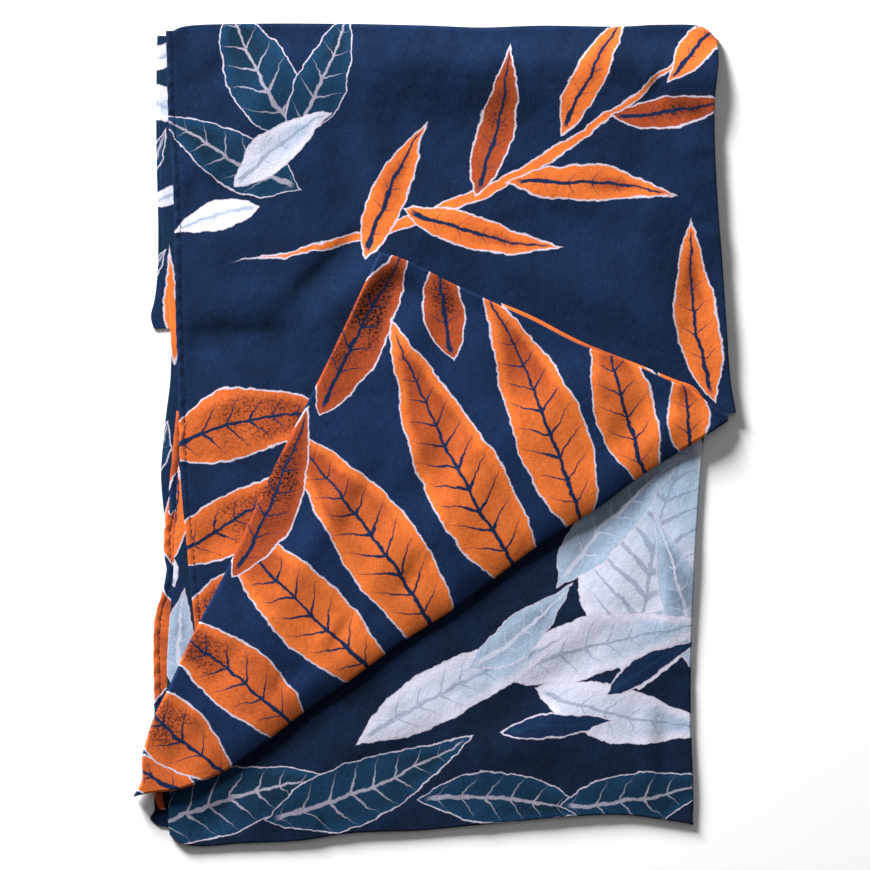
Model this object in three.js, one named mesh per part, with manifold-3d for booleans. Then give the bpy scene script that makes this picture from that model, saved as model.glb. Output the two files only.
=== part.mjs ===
// A square scarf of fine cotton, folded in half and then in three and laid flat, with the lower right
// corner of its upper layers turned up over them. Millimetres, +Z up, +Y towards the top fold. The
// origin is on the surface that it lies on, below the middle of its outline.
import * as THREE from "three";
import { mergeVertices } from "three/addons/utils/BufferGeometryUtils.js";
import Module from "manifold-3d";

// Driving sizes
const WALL = 1.2; // one layer of cloth, with the air that it traps
const GAP = 0.3; // between layers, and along seams
const PLY = WALL + GAP; // from one layer to the next
const STACK = 2; // the hidden layers below the lower panel
const FOLD = 4; // how far in from its edge a fold starts to turn down
const SOFT_FOLD = 3; // the same, at the thinner folds
const ROLL = 3.2; // how far the crease's soft roll reaches in
const ROLL_LIFT = 1.5; // how much the turned cloth stands up beside its crease
const ROLL_REACH = 16; // how far that lift reaches
const LEG = 20; // the turned cloth below the cover, in from the crease
const HEM_WIDTH = 4;
const HEM_HEIGHT = 1.25;
const CREASE_INSET = 4; // from the crease to the end of the layers inside its roll
const STRIP_END = -119; // where the layers along the left end, below the cover
const STACK_LEFT = -117; // where the hidden layers start
const STACK_CLEAR = 0.5; // from the hidden layers up to the cover
const FOLD_FACES = 4;
const HEM_ROUND = 0.4; // how far a hem's long edges are rounded
const BLOCK_EDGE_ANGLE = 25; // where the rounding of the hidden layers' edge starts, in degrees

// Heights of the undersides, from the lowest layer up
const LOWER_Z = STACK + GAP;
const LEG_Z = LOWER_Z + PLY;
const COVER_Z = LEG_Z + PLY;
const SIDE_Z = { floor: 0, first: PLY, second: 2 * PLY, third: 3 * PLY };

// Colours, roughness
const NAVY = 0x1b2c52;
const ORANGE = 0xeb782d;
const RUST = 0xbe5830;
const TEAL = 0x1c4870;
const PALE = 0xd7d5e6;
const DEEP = 0x141f3c;
const CLOTH_ROUGHNESS = 0.9;

// Outlines seen from above, a row for each section
const CREASE = [
  { x: -150.5, y: -192.5 }, { x: -140, y: -191.5 }, { x: -130.5, y: -188.5 }, { x: -113, y: -180 },
  { x: -102, y: -172 }, { x: -70, y: -147.5 }, { x: -49.5, y: -133.5 }, { x: -20.5, y: -111 },
  { x: 6, y: -92.5 }, { x: 29.5, y: -75.5 }, { x: 51, y: -61 }, { x: 68.5, y: -51 },
  { x: 89, y: -38.5 }, { x: 107.5, y: -24.5 }, { x: 126, y: -12.5 }, { x: 141, y: -3.5 },
  { x: 158, y: 7.5 },
];
const COVER_LEFT = [
  { x: -123, y: -179 }, { x: -125, y: -143.5 }, { x: -129.5, y: -104.5 }, { x: -133, y: -68 },
  { x: -137, y: -24.5 }, { x: -138.5, y: 18.5 }, { x: -140, y: 72.5 }, { x: -141, y: 126.5 },
  { x: -144, y: 175 }, { x: -145, y: 218 },
];
const COVER_TOP = [
  { x: -145, y: 218 }, { x: -136, y: 220.5 }, { x: -102.5, y: 222 }, { x: -51, y: 222 },
  { x: -2.5, y: 221 }, { x: 24.5, y: 220 }, { x: 57, y: 221 }, { x: 100, y: 220.5 },
  { x: 122, y: 221.5 }, { x: 145, y: 220 }, { x: 152.5, y: 213 },
];
const COVER_RIGHT = [
  { x: 162.5, y: 12 }, { x: 159.5, y: 29.5 }, { x: 157.5, y: 56.5 }, { x: 155, y: 94 },
  { x: 152.5, y: 126.5 }, { x: 151, y: 159 }, { x: 151, y: 180.5 }, { x: 153, y: 202 },
  { x: 152.5, y: 213 },
];
const LOWER_BOTTOM = [
  { x: -143, y: -216 }, { x: -137.5, y: -220.5 }, { x: -126.5, y: -222 }, { x: -105, y: -220.5 },
  { x: -72.5, y: -219 }, { x: -45.5, y: -215 }, { x: -8, y: -213.5 }, { x: 19, y: -211 },
  { x: 68, y: -206.5 }, { x: 100, y: -205 }, { x: 122, y: -207.5 }, { x: 139, y: -210 },
];
const LOWER_LEFT = [
  { x: -143, y: -216 }, { x: -144, y: -208 }, { x: -143, y: -190 }, { x: -141, y: -168 },
];
const LOWER_RIGHT = [
  { x: 139, y: -210 }, { x: 139.5, y: -194.5 }, { x: 138.5, y: -165 }, { x: 138, y: -138 },
  { x: 139, y: -100 }, { x: 141, y: -57 }, { x: 144, y: -14 }, { x: 146, y: 10 }, { x: 146, y: 31 },
];
const LOWER_TOP = [
  { x: -141, y: -168 }, { x: -117, y: -150 }, { x: -85, y: -125 }, { x: -35, y: -88 },
  { x: 15, y: -53 }, { x: 74, y: -16 }, { x: 126, y: 19 }, { x: 146, y: 31 },
];
const WING_LEFT = [
  { x: -152, y: 57.5 }, { x: -153.5, y: 64 }, { x: -151.5, y: 73 }, { x: -150, y: 86 },
  { x: -149.5, y: 110.5 }, { x: -150.5, y: 153.5 }, { x: -150.5, y: 191.5 }, { x: -150, y: 215.5 },
];
const SIDE_LEFT = [
  { x: -146, y: -148 }, { x: -144, y: -100 }, { x: -144.5, y: -59.5 }, { x: -146.5, y: -41 },
  { x: -148, y: -22 }, { x: -147, y: -5.5 }, { x: -145, y: 13 }, { x: -143, y: 29.5 },
  { x: -142.5, y: 48.5 }, { x: -145, y: 86 }, { x: -147, y: 105 }, { x: -148, y: 132 },
  { x: -149, y: 170 }, { x: -149, y: 213 },
];
const SECOND_LEFT = [
  { x: -151.5, y: -157 }, { x: -151.5, y: -138 }, { x: -152, y: -111 }, { x: -151, y: -97.5 },
  { x: -147, y: -84 }, { x: -145, y: -72 }, { x: -146, y: -65.5 }, { x: -146, y: -51.5 },
  { x: -143.5, y: -38 }, { x: -143.5, y: -27.5 }, { x: -141.5, y: -8.5 }, { x: -139.5, y: 13 },
];
const MIDDLE_LEFT = [
  { x: -144.5, y: -150 }, { x: -144.5, y: -122 }, { x: -143, y: -97.5 }, { x: -141, y: -73 },
  { x: -140, y: -43.5 }, { x: -138.5, y: -19 }, { x: -138, y: 2.5 },
];
const CORNER_LEFT = [
  { x: -149.5, y: -211 }, { x: -154, y: -207 }, { x: -151.5, y: -203 }, { x: -151.5, y: -197 },
  { x: -150.5, y: -184 },
];
const CORNER_HEM = [
  { x: -149, y: -202 }, { x: -151, y: -196 }, { x: -150, y: -184 },
];

// The turned corner's two straight folds, with how far each turns down below the cloth beside it
const FLAP_LEFT = [
  { x: -162.5, y: -194.5, turn: 6.3 }, { x: -158, y: -186, turn: 6.3 },
  { x: -158, y: -174, turn: 6.3 }, { x: -155, y: -162.5, turn: 5.5 },
  { x: -151, y: -151, turn: 3.9 }, { x: -145, y: -139, turn: 2.9 },
  { x: -134, y: -115, turn: 1.5 }, { x: -129, y: -104.5, turn: 1.5 },
  { x: -108.5, y: -65, turn: 1.5 }, { x: -90, y: -24.5, turn: 1.5 }, { x: -58, y: 39, turn: 1.5 },
  { x: -30, y: 98.5, turn: 1.5 },
];
const FLAP_RIGHT = [
  { x: -30, y: 98.5 }, { x: -19, y: 95.5 }, { x: -6, y: 89.5 }, { x: 8.5, y: 82 },
  { x: 34.5, y: 70 }, { x: 53, y: 61.5 }, { x: 77.5, y: 49 }, { x: 100, y: 41 },
  { x: 127, y: 29 }, { x: 136.5, y: 25.5 }, { x: 151, y: 14.5 },
];
const INNER_LEFT = [
  { x: -100, y: -140 }, { x: -108, y: -105 }, { x: -95, y: -69 }, { x: -78, y: -28 },
  { x: -47, y: 35 }, { x: -26, y: 90 },
];
const INNER_RIGHT = [
  { x: -26, y: 90 }, { x: -14, y: 91.5 }, { x: 8, y: 82.5 }, { x: 24.5, y: 75.5 },
  { x: 51.5, y: 64.5 }, { x: 77.5, y: 51 }, { x: 111, y: 37.5 }, { x: 129, y: 30 },
  { x: 139.5, y: 26 }, { x: 146, y: 18 },
];
const CORNER_END = -138.9;
const CORNER_LOW = -212;

// The hidden layers' outlines: below the cover, and below the lower panel
const UPPER_BLOCK = {
  bottom: [
    { x: STACK_LEFT, y: -143 }, { x: -86, y: -120 }, { x: -36, y: -83 }, { x: 14, y: -48 },
    { x: 73, y: -11 }, { x: 125, y: 24 }, { x: 155, y: 44 },
  ],
  right: [
    { x: 155, y: 44 }, { x: 154, y: 56.5 }, { x: 152, y: 94 }, { x: 149.5, y: 126.5 },
    { x: 148, y: 159 }, { x: 148, y: 180.5 }, { x: 149.5, y: 202 }, { x: 149, y: 209 },
  ],
  top: [
    { x: STACK_LEFT, y: 217.5 }, { x: -51, y: 218.5 }, { x: -2.5, y: 217.5 }, { x: 24.5, y: 216.5 },
    { x: 57, y: 217.5 }, { x: 122, y: 218 }, { x: 143, y: 216 }, { x: 149, y: 209 },
  ],
};
const LOWER_BLOCK = {
  bottom: [
    { x: -138.5, y: -214 }, { x: -126.5, y: -218.5 }, { x: -105, y: -217.5 }, { x: -72.5, y: -216 },
    { x: -45.5, y: -212 }, { x: -8, y: -210.5 }, { x: 19, y: -208 }, { x: 68, y: -203.5 },
    { x: 100, y: -202 }, { x: 134, y: -205.5 },
  ],
  top: [
    { x: -138.5, y: -172 }, { x: -117, y: -154 }, { x: -85, y: -126 }, { x: -60, y: -95 },
    { x: -10, y: -60 }, { x: 50, y: -20 }, { x: 100, y: 15 }, { x: 142, y: 40 },
  ],
};

// Shares of the way along the crease
const APEX_FOOT = 0.7; // below the turned corner's point
const COVER_FROM = 0.075; // where the cover reaches the roll
const INNER_FROM = 0.17; // where the corner's second layer starts and ends
const INNER_TO = 0.93;
const COVER_FOOT_STEPS = 12;
const LEFT_COLUMNS = 17;
const RIGHT_COLUMNS = 8;

// Soft waves of the cloth: centre, rise, half length and half width, and the way each one runs
const UPPER_WAVES = [
  { x: 70, y: 150, rise: 1.6, long: 75, wide: 32, runs: 20 },
  { x: -45, y: 170, rise: 1.3, long: 60, wide: 30, runs: -35 },
  { x: -80, y: 70, rise: 1.6, long: 60, wide: 32, runs: 70 },
  { x: 118, y: 85, rise: 1.3, long: 50, wide: 30, runs: 80 },
  { x: -80, y: -60, rise: 1.1, long: 70, wide: 32, runs: 62 },
  { x: 20, y: -10, rise: 1.4, long: 90, wide: 34, runs: 36 },
];
const LOWER_WAVES = [
  { x: -20, y: -160, rise: 0.8, long: 80, wide: 32, runs: 15 },
  { x: 95, y: -115, rise: 1.2, long: 65, wide: 30, runs: 75 },
  { x: 55, y: -175, rise: 0.7, long: 60, wide: 30, runs: -10 },
];

// How high the cover's left edge rides on the layers below it
const EDGE_RISE_FROM = 36;
const EDGE_RISE_TO = 18;
const EDGE_FULL_FROM = -118; // below here it rides on the turned cloth's leg, at the full height
const EDGE_FULL_TO = -140;
const EDGE_SLOPE = 24;
const SIDE_DROP_FROM = 54;
const SIDE_DROP_TO = 38;

const rad = THREE.MathUtils.degToRad;
const lerp = THREE.MathUtils.lerp;

function ease(value, from, to) {
  const t = THREE.MathUtils.clamp((value - from) / (to - from), 0, 1);
  return t * t * (3 - 2 * t);
}

function waves(rows, x, y) {
  let rise = 0;
  for (const row of rows) {
    const turn = rad(row.runs);
    const along = (x - row.x) * Math.cos(turn) + (y - row.y) * Math.sin(turn);
    const across = (y - row.y) * Math.cos(turn) - (x - row.x) * Math.sin(turn);
    rise += row.rise * Math.exp(-((along / row.long) ** 2) - (across / row.wide) ** 2);
  }
  return rise;
}

// Undersides of the layers, as heights over the plan
const lowerZ = (x, y) => LOWER_Z + waves(LOWER_WAVES, x, y);
const legZ = (x, y) => lowerZ(x, y) + PLY;
function coverZ(x, y) {
  const beside = lerp(SIDE_Z.second, SIDE_Z.third, ease(y, EDGE_RISE_FROM, EDGE_RISE_TO));
  const edge = lerp(beside, COVER_Z, ease(y, EDGE_FULL_FROM, EDGE_FULL_TO));
  const left = coverEdge(y);
  const inward = ease(x, left, left + EDGE_SLOPE);
  const full = COVER_Z + waves(LOWER_WAVES, x, y) + waves(UPPER_WAVES, x, y);
  return lerp(edge, full, inward);
}
const innerZ = (x, y) => coverZ(x, y) + PLY;
const flapZ = (x, y) => innerZ(x, y) + PLY;
const sideZ = (x, y) => lerp(SIDE_Z.first, SIDE_Z.floor, ease(y, SIDE_DROP_FROM, SIDE_DROP_TO));

// The x of an outline at a height y, straight between its rows
function coverEdge(y) {
  const rows = COVER_LEFT;
  const next = Math.max(1, rows.findIndex((row) => row.y >= y));
  const upper = y > rows[rows.length - 1].y ? rows.length - 1 : next;
  const low = rows[upper - 1];
  const high = rows[upper];
  return lerp(low.x, high.x, THREE.MathUtils.clamp((y - low.y) / (high.y - low.y), 0, 1));
}

function smooth(rows) {
  const points = rows.map((row) => new THREE.Vector3(row.x, row.y, row.turn ?? 0));
  const curve = new THREE.CatmullRomCurve3(points, false, "centripetal");
  return (t) => curve.getPointAt(THREE.MathUtils.clamp(t, 0, 1));
}
function straight(from, to) {
  return (t) => new THREE.Vector3(lerp(from.x, to.x, t), lerp(from.y, to.y, t), 0);
}
function shifted(rows, dx) {
  return rows.map((row) => ({ x: row.x + dx, y: row.y }));
}

// Part of a curve, moved to its left
const TANGENT_STEP = 0.005;
function beside(curve, offset, from, to) {
  return (t) => {
    const at = lerp(from, to, t);
    const point = curve(at);
    const ahead = curve(at + TANGENT_STEP).sub(curve(at - TANGENT_STEP)).normalize();
    return new THREE.Vector3(point.x - ahead.y * offset, point.y + ahead.x * offset, 0);
  };
}

// A four-sided plan between four edges, each a curve: left and right run up, bottom and top run right
function plan({ left, right, bottom, top }) {
  const corner = { low: left(0), lowRight: right(0), high: left(1), highRight: right(1) };
  const at = (u, v) => {
    const point = new THREE.Vector3();
    point.addScaledVector(bottom(u), 1 - v).addScaledVector(top(u), v);
    point.addScaledVector(left(v), 1 - u).addScaledVector(right(v), u);
    point.addScaledVector(corner.low, -(1 - u) * (1 - v)).addScaledVector(corner.lowRight, -u * (1 - v));
    point.addScaledVector(corner.high, -(1 - u) * v).addScaledVector(corner.highRight, -u * v);
    return point;
  };
  return {
    at,
    width: (v) => left(v).distanceTo(right(v)),
    height: (u) => bottom(u).distanceTo(top(u)),
  };
}

// The stations across a panel: plain steps, and around a fold a few at even angles
function stations(steps, startFold, endFold, startAngle) {
  const list = [];
  const angles = [];
  for (let i = 0; i < FOLD_FACES; i++) angles.push(rad(lerp(startAngle, 90, i / FOLD_FACES)));
  const turned = (fold, end) => (angle) => ({
    end,
    inset: fold * (1 - Math.cos(angle)),
    sin: Math.sin(angle),
    cos: Math.cos(angle),
  });
  if (startFold) list.push(...angles.map(turned(startFold, false)));
  for (let i = 0; i <= steps; i++) list.push({ share: i / steps, sin: 1, cos: 0 });
  if (endFold) list.push(...angles.reverse().map(turned(endFold, true)));
  const place = (station, length, thickness) => {
    if (station.share !== undefined)
      return (startFold + station.share * (length - startFold - endFold)) / length;
    const inset = (station.inset + thickness * station.cos) / length;
    return station.end ? 1 - inset : inset;
  };
  return { list, place };
}

// A closed mesh from an upper and a lower grid of points with the same rows and columns
function closed(upper, lower) {
  const columns = upper.length;
  const rows = upper[0].length;
  const positions = [];
  for (const grid of [upper, lower])
    for (const column of grid) for (const p of column) positions.push(p.x, p.y, p.z);
  const at = (layer, i, j) => (layer * columns + i) * rows + j;
  const index = [];
  const quad = (a, b, c, d) => index.push(a, b, c, a, c, d);
  for (let i = 0; i + 1 < columns; i++)
    for (let j = 0; j + 1 < rows; j++) {
      quad(at(0, i, j), at(0, i + 1, j), at(0, i + 1, j + 1), at(0, i, j + 1));
      quad(at(1, i, j), at(1, i, j + 1), at(1, i + 1, j + 1), at(1, i + 1, j));
    }
  for (let i = 0; i + 1 < columns; i++) {
    quad(at(1, i, 0), at(1, i + 1, 0), at(0, i + 1, 0), at(0, i, 0));
    quad(at(0, i, rows - 1), at(0, i + 1, rows - 1), at(1, i + 1, rows - 1), at(1, i, rows - 1));
  }
  for (let j = 0; j + 1 < rows; j++) {
    quad(at(0, 0, j), at(0, 0, j + 1), at(1, 0, j + 1), at(1, 0, j));
    const last = columns - 1;
    quad(at(1, last, j), at(1, last, j + 1), at(0, last, j + 1), at(0, last, j));
  }
  const geometry = new THREE.BufferGeometry();
  geometry.setAttribute("position", new THREE.Float32BufferAttribute(positions, 3));
  geometry.setIndex(index);
  return geometry;
}

// A wall of cloth over a plan. Folded edges turn down to the floor, the others end square.
function wall(edges, under, { columns, rows, folds = {} }) {
  const area = plan(edges);
  const across = stations(columns, folds.left ?? 0, folds.right ?? 0, 0);
  const along = stations(rows, folds.bottom ?? 0, folds.top ?? 0, 0);
  const grid = (thickness, rise) =>
    across.list.map((column, i) =>
      along.list.map((row, j) => {
        const midU = i / (across.list.length - 1);
        const midV = j / (along.list.length - 1);
        const u = across.place(column, area.width(midV), thickness);
        const v = along.place(row, area.height(midU), thickness);
        const p = area.at(u, v);
        const top = under(p.x, p.y) + rise;
        return new THREE.Vector3(p.x, p.y, top * column.sin * row.sin);
      }),
    );
  return closed(grid(0, WALL), grid(WALL, 0));
}

// A solid block of layers over a plan, flat below, with rounded upper edges
function block(edges, top, { columns, rows, round }) {
  const area = plan(edges);
  const across = stations(columns, round, round, BLOCK_EDGE_ANGLE);
  const along = stations(rows, round, round, BLOCK_EDGE_ANGLE);
  const grid = (height) =>
    across.list.map((column, i) =>
      along.list.map((row, j) => {
        const midU = i / (across.list.length - 1);
        const midV = j / (along.list.length - 1);
        const u = across.place(column, area.width(midV), 0);
        const v = along.place(row, area.height(midU), 0);
        const p = area.at(u, v);
        return new THREE.Vector3(p.x, p.y, height(p.x, p.y) * column.sin * row.sin);
      }),
    );
  return closed(grid(top), grid(() => 0));
}

// A hem: a narrow rounded strip along the outer edge of a panel
function hem(edge, under, steps) {
  const section = [
    { in: 0, up: HEM_ROUND }, { in: HEM_ROUND, up: 0 }, { in: HEM_WIDTH, up: 0 },
    { in: HEM_WIDTH, up: HEM_HEIGHT - HEM_ROUND }, { in: HEM_WIDTH - HEM_ROUND, up: HEM_HEIGHT },
    { in: HEM_ROUND, up: HEM_HEIGHT }, { in: 0, up: HEM_HEIGHT - HEM_ROUND },
  ];
  const rings = [];
  for (let i = 0; i <= steps; i++) {
    const point = edge(i / steps);
    rings.push(section.map((row) => {
      const x = point.x + row.in;
      return new THREE.Vector3(x, point.y, under(x, point.y) + row.up);
    }));
  }
  return lofted(rings);
}

// A closed mesh through rings of points, with a flat fan at each end
function lofted(rings) {
  const count = rings[0].length;
  const positions = rings.flat().flatMap((p) => [p.x, p.y, p.z]);
  const index = [];
  for (let i = 0; i + 1 < rings.length; i++)
    for (let k = 0; k < count; k++) {
      const next = (k + 1) % count;
      const a = i * count + k;
      const b = i * count + next;
      index.push(a, b + count, b, a, a + count, b + count);
    }
  const last = (rings.length - 1) * count;
  for (let k = 1; k + 1 < count; k++) {
    index.push(0, k, k + 1);
    index.push(last, last + k + 1, last + k);
  }
  const geometry = new THREE.BufferGeometry();
  geometry.setAttribute("position", new THREE.Float32BufferAttribute(positions, 3));
  geometry.setIndex(index);
  return geometry;
}

function mesh(name, geometry, color) {
  const material = new THREE.MeshStandardMaterial({ color, roughness: CLOTH_ROUGHNESS, metalness: 0 });
  const made = new THREE.Mesh(geometry, material);
  made.name = name;
  return made;
}

const crease = smooth(CREASE);

// The cover: hemmed on the left, folded at the top and right, ending inside the crease's roll
function coverBottom() {
  const inner = beside(crease, CREASE_INSET, COVER_FROM, 1);
  const rows = [{ x: COVER_LEFT[0].x + HEM_WIDTH + GAP, y: COVER_LEFT[0].y }];
  for (let i = 1; i <= COVER_FOOT_STEPS; i++) rows.push(inner(i / COVER_FOOT_STEPS));
  rows.push(COVER_RIGHT[0]);
  return smooth(rows);
}
function makeCover() {
  const left = smooth(shifted(COVER_LEFT, HEM_WIDTH + GAP));
  const top = smooth([left(1), ...COVER_TOP.slice(1)]);
  const edges = { left, right: smooth(COVER_RIGHT), bottom: coverBottom(), top };
  return wall(edges, coverZ, { columns: 20, rows: 20, folds: { right: FOLD, top: FOLD } });
}

// The layers along the left, which end below the cover. A hemmed one starts inside its hem.
function strip({ rows, under, innerLow, steps, hemmed }) {
  const left = smooth(shifted(rows, hemmed ? HEM_WIDTH + GAP : 0));
  const low = { x: STRIP_END, y: innerLow };
  const high = { x: STRIP_END, y: rows.at(-1).y };
  const edges = {
    left,
    right: straight(low, high),
    bottom: straight(left(0), low),
    top: straight(left(1), high),
  };
  return wall(edges, under, { columns: 2, rows: steps });
}
const STRIPS = [
  { name: "wing_layer", rows: WING_LEFT, under: () => SIDE_Z.floor, innerLow: 57.5, steps: 14, color: TEAL },
  { name: "side_layer", rows: SIDE_LEFT, under: sideZ, innerLow: -148, steps: 30, color: NAVY },
  {
    name: "second_layer", rows: SECOND_LEFT, under: () => SIDE_Z.first, innerLow: -148, steps: 20,
    color: RUST, hemmed: true,
  },
  {
    name: "middle_layer", rows: MIDDLE_LEFT, under: () => SIDE_Z.second, innerLow: -142, steps: 14,
    color: NAVY,
  },
];
const HEMS = [
  { name: "cover_hem", rows: COVER_LEFT, under: coverZ, steps: 36, color: NAVY },
  { name: "second_hem", rows: SECOND_LEFT, under: () => SIDE_Z.first, steps: 20, color: ORANGE },
  { name: "corner_hem", rows: CORNER_HEM, under: () => SIDE_Z.first, steps: 4, color: ORANGE },
];

// The turned corner: a leg below the cover, the soft roll of the crease, and the turned cloth
// as far as its two straight folds
function flapColumns(leftRows, rightRows) {
  const left = smooth(leftRows);
  const right = smooth(rightRows.map((row) => ({ turn: 0, ...row })));
  const columns = [];
  for (let i = 0; i <= LEFT_COLUMNS; i++)
    columns.push({ foot: crease((i / LEFT_COLUMNS) * APEX_FOOT), end: left(i / LEFT_COLUMNS) });
  for (let i = 1; i <= RIGHT_COLUMNS; i++)
    columns.push({ foot: crease(lerp(APEX_FOOT, 1, i / RIGHT_COLUMNS)), end: right(i / RIGHT_COLUMNS) });
  for (const column of columns) {
    column.turn = column.end.z;
    column.end.z = 0;
    column.length = column.foot.distanceTo(column.end);
    column.at = (s) => column.foot.clone().lerp(column.end, s / column.length);
  }
  return columns;
}
const ROLL_FACES = 6;
const FLAP_ROWS = 12;
const LEG_SHARE = 0.6; // of a short column, near the two ends of the crease
const lift = (s) => ROLL_LIFT * Math.exp(-((s / ROLL_REACH) ** 2));

function flapSection(column, thickness) {
  const points = [];
  const leg = Math.min(LEG, column.length * LEG_SHARE);
  const base = column.at(ROLL);
  const low = legZ(base.x, base.y) + thickness;
  const high = flapZ(base.x, base.y) + lift(ROLL) + WALL - thickness;
  const add = (s, z) => {
    const p = column.at(s);
    points.push(new THREE.Vector3(p.x, p.y, z));
  };
  const legEnd = column.at(leg);
  add(leg, legZ(legEnd.x, legEnd.y) + thickness);
  for (let i = 0; i <= ROLL_FACES; i++) {
    const angle = rad(lerp(-90, 90, i / ROLL_FACES));
    const s = ROLL - (ROLL - thickness) * Math.cos(angle);
    add(s, (low + high) / 2 + ((high - low) / 2) * Math.sin(angle));
  }
  const flatEnd = column.length - SOFT_FOLD;
  for (let i = 1; i <= FLAP_ROWS; i++) {
    const s = lerp(ROLL, flatEnd, i / FLAP_ROWS);
    const p = column.at(s);
    add(s, flapZ(p.x, p.y) + lift(s) + WALL - thickness);
  }
  for (let i = FOLD_FACES - 1; i >= 0; i--) {
    const angle = rad((90 * i) / FOLD_FACES);
    const s = flatEnd + (SOFT_FOLD - thickness) * Math.cos(angle);
    const p = column.at(s);
    const top = flapZ(p.x, p.y) + lift(s) + WALL - thickness;
    const foot = flapZ(p.x, p.y) + lift(s) - column.turn;
    add(s, lerp(foot, top, Math.sin(angle)));
  }
  return points;
}
function makeFlap() {
  const columns = flapColumns(FLAP_LEFT, FLAP_RIGHT);
  const outer = columns.map((column) => flapSection(column, 0));
  const inner = columns.map((column) => flapSection(column, WALL));
  return closed(outer, inner);
}

// The second layer inside the turned corner, which shows as a narrow edge along its upper right
const INNER_COLUMNS = 9; // on each side of its point
const INNER_ROWS = 10;
function makeFlapInner() {
  const foot = beside(crease, CREASE_INSET, 0, 1);
  const left = smooth(INNER_LEFT);
  const right = smooth(INNER_RIGHT);
  const columns = [];
  for (let i = 0; i <= INNER_COLUMNS; i++) {
    const t = i / INNER_COLUMNS;
    columns.push({ foot: foot(lerp(INNER_FROM, APEX_FOOT, t)), end: left(t) });
  }
  for (let i = 1; i <= INNER_COLUMNS; i++) {
    const t = i / INNER_COLUMNS;
    columns.push({ foot: foot(lerp(APEX_FOOT, INNER_TO, t)), end: right(t) });
  }
  const grid = (rise) =>
    columns.map((column) => {
      const points = [];
      for (let j = 0; j <= INNER_ROWS; j++) {
        const p = column.foot.clone().lerp(column.end, j / INNER_ROWS);
        points.push(p.setZ(innerZ(p.x, p.y) + rise));
      }
      return points;
    });
  return closed(grid(WALL), grid(0));
}

// The lower panel, with its folds along the bottom and the right
function makeLower() {
  const edges = {
    left: smooth(LOWER_LEFT),
    right: smooth(LOWER_RIGHT),
    bottom: smooth(LOWER_BOTTOM),
    top: smooth(LOWER_TOP),
  };
  return wall(edges, lowerZ, { columns: 22, rows: 14, folds: { bottom: SOFT_FOLD, right: SOFT_FOLD } });
}

// The layers that show at the lower left corner, below the tip of the crease
function makeCorner() {
  const left = smooth(CORNER_LEFT);
  const low = { x: CORNER_END, y: CORNER_LOW };
  const high = { x: CORNER_END, y: CORNER_LEFT.at(-1).y };
  const edges = {
    left,
    right: straight(low, high),
    bottom: straight(left(0), low),
    top: straight(left(1), high),
  };
  return wall(edges, () => SIDE_Z.floor, { columns: 2, rows: 5 });
}

// The hidden layers: a block below the cover, joined to a lower one below the lower panel
function makeHidden(wasm) {
  const upperBottom = smooth(UPPER_BLOCK.bottom);
  const upperTop = smooth(UPPER_BLOCK.top);
  const upper = block(
    {
      left: straight(upperBottom(0), upperTop(0)),
      right: smooth(UPPER_BLOCK.right),
      bottom: upperBottom,
      top: upperTop,
    },
    (x, y) => coverZ(x, y) - STACK_CLEAR,
    { columns: 12, rows: 14, round: SOFT_FOLD },
  );
  const lowerBottom = smooth(LOWER_BLOCK.bottom);
  const lowerTop = smooth(LOWER_BLOCK.top);
  const lower = block(
    {
      left: straight(lowerBottom(0), lowerTop(0)),
      right: straight(lowerBottom(1), lowerTop(1)),
      bottom: lowerBottom,
      top: lowerTop,
    },
    (x, y) => lowerZ(x, y) - STACK_CLEAR,
    { columns: 12, rows: 6, round: STACK },
  );
  const solid = (geometry) => {
    const merged = mergeVertices(geometry);
    return new wasm.Manifold(
      new wasm.Mesh({
        numProp: 3,
        vertProperties: merged.attributes.position.array,
        triVerts: new Uint32Array(merged.index.array),
      }),
    );
  };
  const joined = solid(upper).add(solid(lower)).getMesh();
  const geometry = new THREE.BufferGeometry();
  geometry.setAttribute("position", new THREE.BufferAttribute(joined.vertProperties, 3));
  geometry.setIndex(new THREE.BufferAttribute(joined.triVerts, 1));
  return geometry;
}

const wasm = await Module();
wasm.setup();

const scarf = new THREE.Group();
for (const row of STRIPS) scarf.add(mesh(row.name, strip(row), row.color));
for (const row of HEMS) scarf.add(mesh(row.name, hem(smooth(row.rows), row.under, row.steps), row.color));
scarf.add(
  mesh("hidden_layers", makeHidden(wasm), DEEP),
  mesh("lower_panel", makeLower(), PALE),
  mesh("corner_layer", makeCorner(), DEEP),
  mesh("cover_panel", makeCover(), NAVY),
  mesh("flap_inner_layer", makeFlapInner(), RUST),
  mesh("turned_flap", makeFlap(), ORANGE),
);

export default scarf;
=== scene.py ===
# A folded square scarf of fine printed cotton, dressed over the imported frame. The tables are in
# millimetres and repeat those of the part's source, and the meshes are made in metres.
import math

import bpy
import numpy as np
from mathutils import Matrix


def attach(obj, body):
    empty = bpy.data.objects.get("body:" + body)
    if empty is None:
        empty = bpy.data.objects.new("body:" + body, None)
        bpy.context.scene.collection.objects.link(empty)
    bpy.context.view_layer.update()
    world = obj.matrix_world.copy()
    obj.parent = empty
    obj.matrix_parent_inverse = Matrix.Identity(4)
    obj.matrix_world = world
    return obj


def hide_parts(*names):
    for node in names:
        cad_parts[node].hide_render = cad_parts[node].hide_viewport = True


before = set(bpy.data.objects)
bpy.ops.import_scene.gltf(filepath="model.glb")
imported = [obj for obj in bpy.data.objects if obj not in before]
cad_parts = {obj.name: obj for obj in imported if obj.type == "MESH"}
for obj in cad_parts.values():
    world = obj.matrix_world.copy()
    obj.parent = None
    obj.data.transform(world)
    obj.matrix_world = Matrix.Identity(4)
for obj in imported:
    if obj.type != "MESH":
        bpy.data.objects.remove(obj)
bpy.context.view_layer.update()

MM = 0.001

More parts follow.
